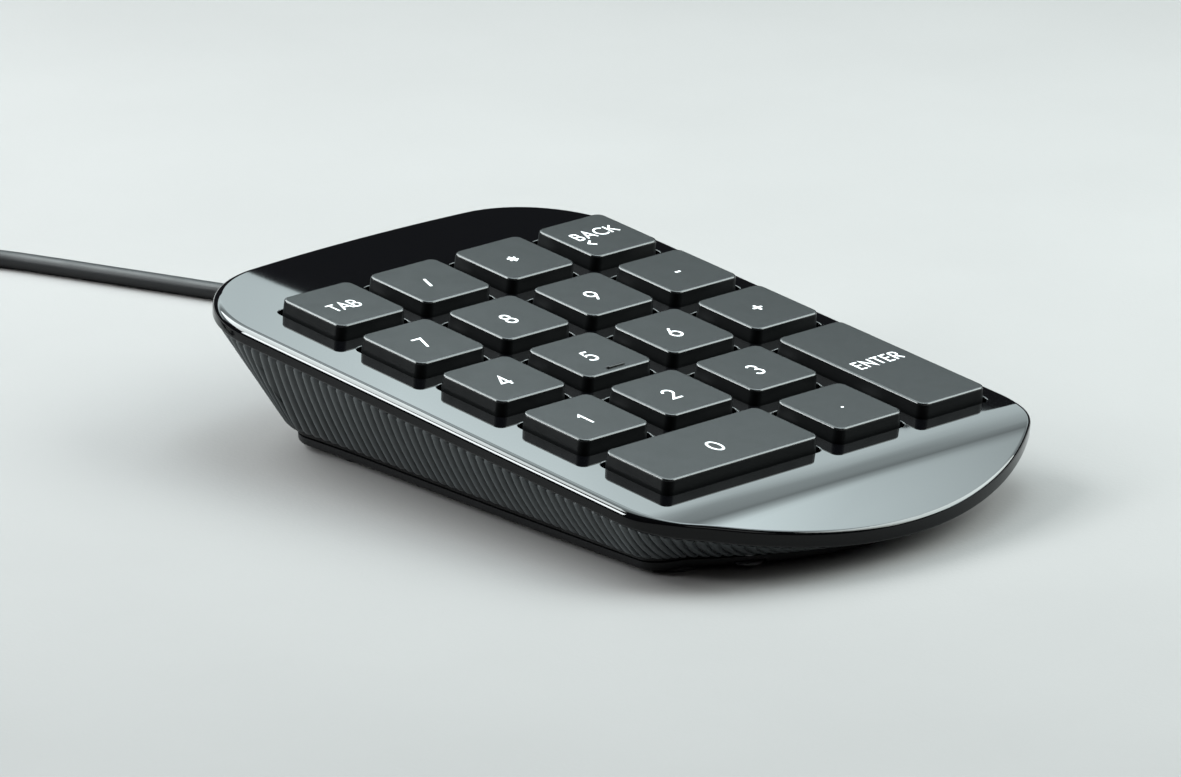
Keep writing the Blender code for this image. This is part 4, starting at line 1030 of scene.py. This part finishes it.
def make_bend_relief():
    """A flange inside the wall, then a tapered sleeve with ring grooves."""
    profile = [
        (1.62, 0.0), (4.4, 0.0), (4.5, 0.1), (4.5, 1.1), (4.4, 1.2),
        (3.2, 1.2), (3.2, 6.4), (3.45, 6.6), (3.45, 7.6),
    ]
    z = 8.0
    for k in range(6):
        r = 3.35 - 0.17 * k
        profile += [
            (r, z), (r, z + 1.15), (r - 0.12, z + 1.3),
            (r - 0.62, z + 1.35), (r - 0.62, z + 1.85), (r - 0.22, z + 1.95),
        ]
        z += 2.1
    profile += [(2.35, z), (2.3, z + 1.0), (2.1, z + 1.3), (1.62, z + 1.35)]
    bm = bmesh.new()
    loft(bm, lathe(profile), closed=True)
    place = Matrix.Translation((CABLE_X, RELIEF_Y, CABLE_Z)) @ Matrix.Rotation(-PI / 2, 4, "X")
    piece("bend_relief", bm, DESK @ place, RUBBER, "strain_relief", sharp=40)


def round_off(distance, radius):
    """How far a rounded end has drawn in at this distance from it."""
    return radius * (1 - math.sqrt(max(0, 1 - (1 - min(1.0, distance / radius)) ** 2)))


def make_plug_grip():
    """A lofted body that narrows towards the cable, with shallow finger grooves."""
    rings = []
    steps = 60
    for k in range(steps + 1):
        y = GRIP_LONG * k / steps
        taper = smoothstep(0.0, 9.0, y)
        ends = max(round_off(y, 1.1), round_off(GRIP_LONG - y, 0.9))
        groove = 0.0
        if 11.0 < y < 21.0:
            groove = 0.38 * max(0.0, math.sin(2 * PI * (y - 11.0) / 2.5)) ** 2
        hx = GRIP_WIDE / 2 * (0.56 + 0.44 * taper) - ends - groove
        hz = GRIP_TALL / 2 * (0.80 + 0.20 * taper) - ends
        rings.append([(x, y, z) for x, z in rrect(hx, hz, min(2.0, hz * 0.62), 7)])
    bm = bmesh.new()
    loft(bm, rings)
    grip = piece("plug_grip_moulded", bm, PLUG, GRIP, "plug_grip", sharp=50)
    # socket for the shell
    socket = rrect(SHELL_WIDE / 2 + 0.2, SHELL_TALL / 2 + 0.2, 0.4, 3)
    bm = bmesh.new()
    loft(bm, [[(x, y, z) for x, z in socket] for y in (GRIP_LONG - 5.2, GRIP_LONG + 1)])
    cut(grip, bm, PLUG)
    # hole for the cable
    bm = bmesh.new()
    loft(bm, [y_circle(0, y, 0, 1.6, 32) for y in (-1, 7)])
    cut(grip, bm, PLUG, sharp=50)


def make_plug_contacts():
    """Gold strips on the tongue; the outer two reach further forward."""
    gold = material(
        "contact_gold", colour=(0.83, 0.62, 0.26), rough=0.25, metal=1.0,
        rough_vary=(0.6, 0.05), grain=(0.2, 0.004),
    )
    half_long = 3.2
    for n, (x, setback) in enumerate(((-3.5, 1.4), (-1.0, 2.2), (1.0, 2.2), (3.5, 1.4)), 1):
        cy = GRIP_LONG + SHELL_LONG - setback - half_long
        bm = bmesh.new()
        loft(bm, [rrect_ring(x, cy, z, 0.5, half_long, 0.15, 3) for z in (0.02, 0.2)])
        piece(f"plug_contact_{n}", bm, PLUG, gold)


make_bezel()
make_lower_case()
make_base_cover()
make_feet()
make_base_screws()
make_keys()
make_cable_jacket()
make_bend_relief()
make_plug_grip()
make_plug_contacts()


# ============================================================================================
# Studio: pale floor, soft light, the camera
def at_mm(x, y, z):
    return DESK @ Vector((x, y, z))


def stage_object(name, bm, surface):
    mesh = bpy.data.meshes.new(name)
    bm.to_mesh(mesh)
    bm.free()
    mesh.materials.append(surface)
    obj = bpy.data.objects.new(name, mesh)
    bpy.context.scene.collection.objects.link(obj)
    return obj


def make_floor():
    bm = bmesh.new()
    bmesh.ops.create_grid(bm, x_segments=2, y_segments=2, size=6.0)
    pale = material(
        "floor_pale", colour=(0.25, 0.238, 0.235), rough=0.85, spec=0.2,
        colour_vary=(60.0, 0.02), grain=(0.8, 0.03),
    )
    stage_object("floor", bm, pale)


def area(name, at, look, size, power, colour=(1, 1, 1), spread=180):
    """An area light at one place in mm, turned to another; size in m, power in W."""
    at, look = at_mm(*at), at_mm(*look)
    light = bpy.data.lights.new(name, "AREA")
    light.shape = "RECTANGLE"
    light.size, light.size_y = size
    light.energy = power
    light.color = colour
    light.spread = math.radians(spread)
    obj = bpy.data.objects.new(name, light)
    bpy.context.scene.collection.objects.link(obj)
    obj.location = at
    obj.rotation_euler = (look - at).to_track_quat("-Z", "Y").to_euler()


def between(table, x):
    """Straight-line interpolation in a table of (x, value)."""
    for (x0, v0), (x1, v1) in zip(table, table[1:]):
        if x <= x1:
            return v0 + (v1 - v0) * max(0.0, x - x0) / (x1 - x0)
    return table[-1][1]


# The softbox behind. Its lower edge is what the glossy bezel shows as the border of its pale
# part, and its glow is uneven: a pale strip at the foot, a dim gap above it, then the bright
# main part. Places across run to the camera's right, in mm.
AWAY = Vector((0.737, 0.676, 0)).normalized()  # level, away from the camera
ACROSS = Vector((AWAY.y, -AWAY.x, 0))
# place across, height of the lower edge
SOFTBOX_EDGE = (
    (-900, 254), (-100, 254), (-83, 256.8), (-71, 259.7), (-60, 262), (0, 267),
    (60, 268), (67, 267), (74, 262.6), (82, 259.9), (91, 259), (2200, 258),
)
# place across, glow of the foot strip
FOOT_GLOW = (
    (-900, 2.6), (-80, 3.1), (-45, 3.8), (-7, 3.4), (12, 3.0),
    (20, 2.2), (38, 2.6), (58, 2.5), (90, 2.3), (2200, 2.3),
)
# place across, glow of the main part
MAIN_GLOW = (
    (-900, 2.0), (-200, 2.6), (60, 7.0), (130, 9.5), (165, 8.2),
    (210, 5.4), (280, 4.2), (400, 5.2), (2200, 5.0),
)
SOFTBOX_COLUMNS = (
    -900, -400, -120, -100, -83, -71, -60, -45, -20, -7, 12, 38, 58,
    67, 74, 82, 91, 110, 130, 150, 190, 260, 400, 700, 1200, 2200,
)
# way up the panel, share of the foot glow at the left and at the right, share of the main glow
SOFTBOX_ROWS = (
    (0, 1.0, 1.3, 0.0),
    (14, 1.05, 1.25, 0.0),
    (30, 1.25, 1.05, 0.0),
    (45, 1.0, 0.72, 0.0),
    (80, 0.45, 0.48, 0.02),
    (112, 0.33, 0.50, 0.16),
    (150, 0.2, 0.3, 0.45),
    (215, 0.0, 0.0, 1.0),
    (300, 0.0, 0.0, 0.95),
    (750, 0.0, 0.0, 0.9),
)


def softbox_material():
    """Emission with its strength from the glow attribute."""
    made = bpy.data.materials.new("softbox_glow")
    made.use_nodes = True
    tree = made.node_tree
    tree.nodes.clear()
    out = tree.nodes.new("ShaderNodeOutputMaterial")
    glow = tree.nodes.new("ShaderNodeEmission")
    glow.inputs["Color"].default_value = (0.84, 0.98, 1.0, 1)
    attribute = tree.nodes.new("ShaderNodeAttribute")
    attribute.attribute_name = "glow"
    tree.links.new(attribute.outputs["Fac"], glow.inputs["Strength"])
    tree.links.new(glow.outputs["Emission"], out.inputs["Surface"])
    return made


def make_softbox():
    bm = bmesh.new()
    layer = bm.verts.layers.float.new("glow")
    foot_middle = at_mm(0, 0, 0) + AWAY * 0.50
    rise = (Vector((0, 0, 1)) * 0.80 - AWAY * 0.60).normalized()
    columns = []
    for lateral in SOFTBOX_COLUMNS:
        edge_z = between(SOFTBOX_EDGE, lateral) * MM
        edge = foot_middle + ACROSS * (lateral * MM) + Vector((0, 0, edge_z))
        right = smoothstep(0.0, 40.0, lateral)
        column = []
        for height, foot_left, foot_right, main in SOFTBOX_ROWS:
            foot = foot_left + (foot_right - foot_left) * right
            v = bm.verts.new(edge + rise * (height * MM))
            v[layer] = foot * between(FOOT_GLOW, lateral) + main * between(MAIN_GLOW, lateral)
            column.append(v)
        columns.append(column)
    for a, b in zip(columns, columns[1:]):
        for k in range(len(SOFTBOX_ROWS) - 1):
            bm.faces.new((a[k], b[k], b[k + 1], a[k + 1]))
    obj = stage_object("softbox_back", bm, softbox_material())
    obj.visible_camera = False


def make_lights():
    area(
        "strip_rear", at=(-130, 420, 420), look=(0, 0, 15),
        size=(0.46, 0.30), power=5.0, colour=(0.93, 1.0, 1.0),
    )
    area(
        "fill_left", at=(-760, 600, 450), look=(-40, 0, 10),
        size=(0.34, 0.30), power=3.0, colour=(0.93, 0.99, 1.0), spread=120,
    )
    area(
        "strip_right", at=(400, -280, 330), look=(20, -55, 10),
        size=(0.50, 0.36), power=3.6, colour=(0.92, 1.0, 0.96),
    )
    area("fill_front", at=(-300, -1300, 900), look=(0, 0, 0), size=(0.9, 0.6), power=1.0)


def make_world():
    world = bpy.data.worlds.new("studio")
    world.use_nodes = True
    background = world.node_tree.nodes["Background"].inputs
    background["Color"].default_value = (0.022, 0.023, 0.024, 1)
    background["Strength"].default_value = 1.0
    bpy.context.scene.world = world


def make_camera():
    """A long lens in front of the case, to its left and above it."""
    camera = bpy.data.cameras.new("camera")
    camera.sensor_width = 36.0
    camera.lens = 279.6
    camera.clip_start, camera.clip_end = 0.05, 20.0
    eye = bpy.data.objects.new("camera", camera)
    scene = bpy.context.scene
    scene.collection.objects.link(eye)
    eye.location = at_mm(-983.3, -1017.9, 454.9)
    view = Vector((0.6607, 0.6887, -0.2986))
    eye.rotation_euler = view.to_track_quat("-Z", "Y").to_euler()
    scene.camera = eye
    scene.view_settings.view_transform = "Standard"
    scene.view_settings.look = "None"


make_floor()
make_softbox()
make_lights()
make_world()
make_camera()
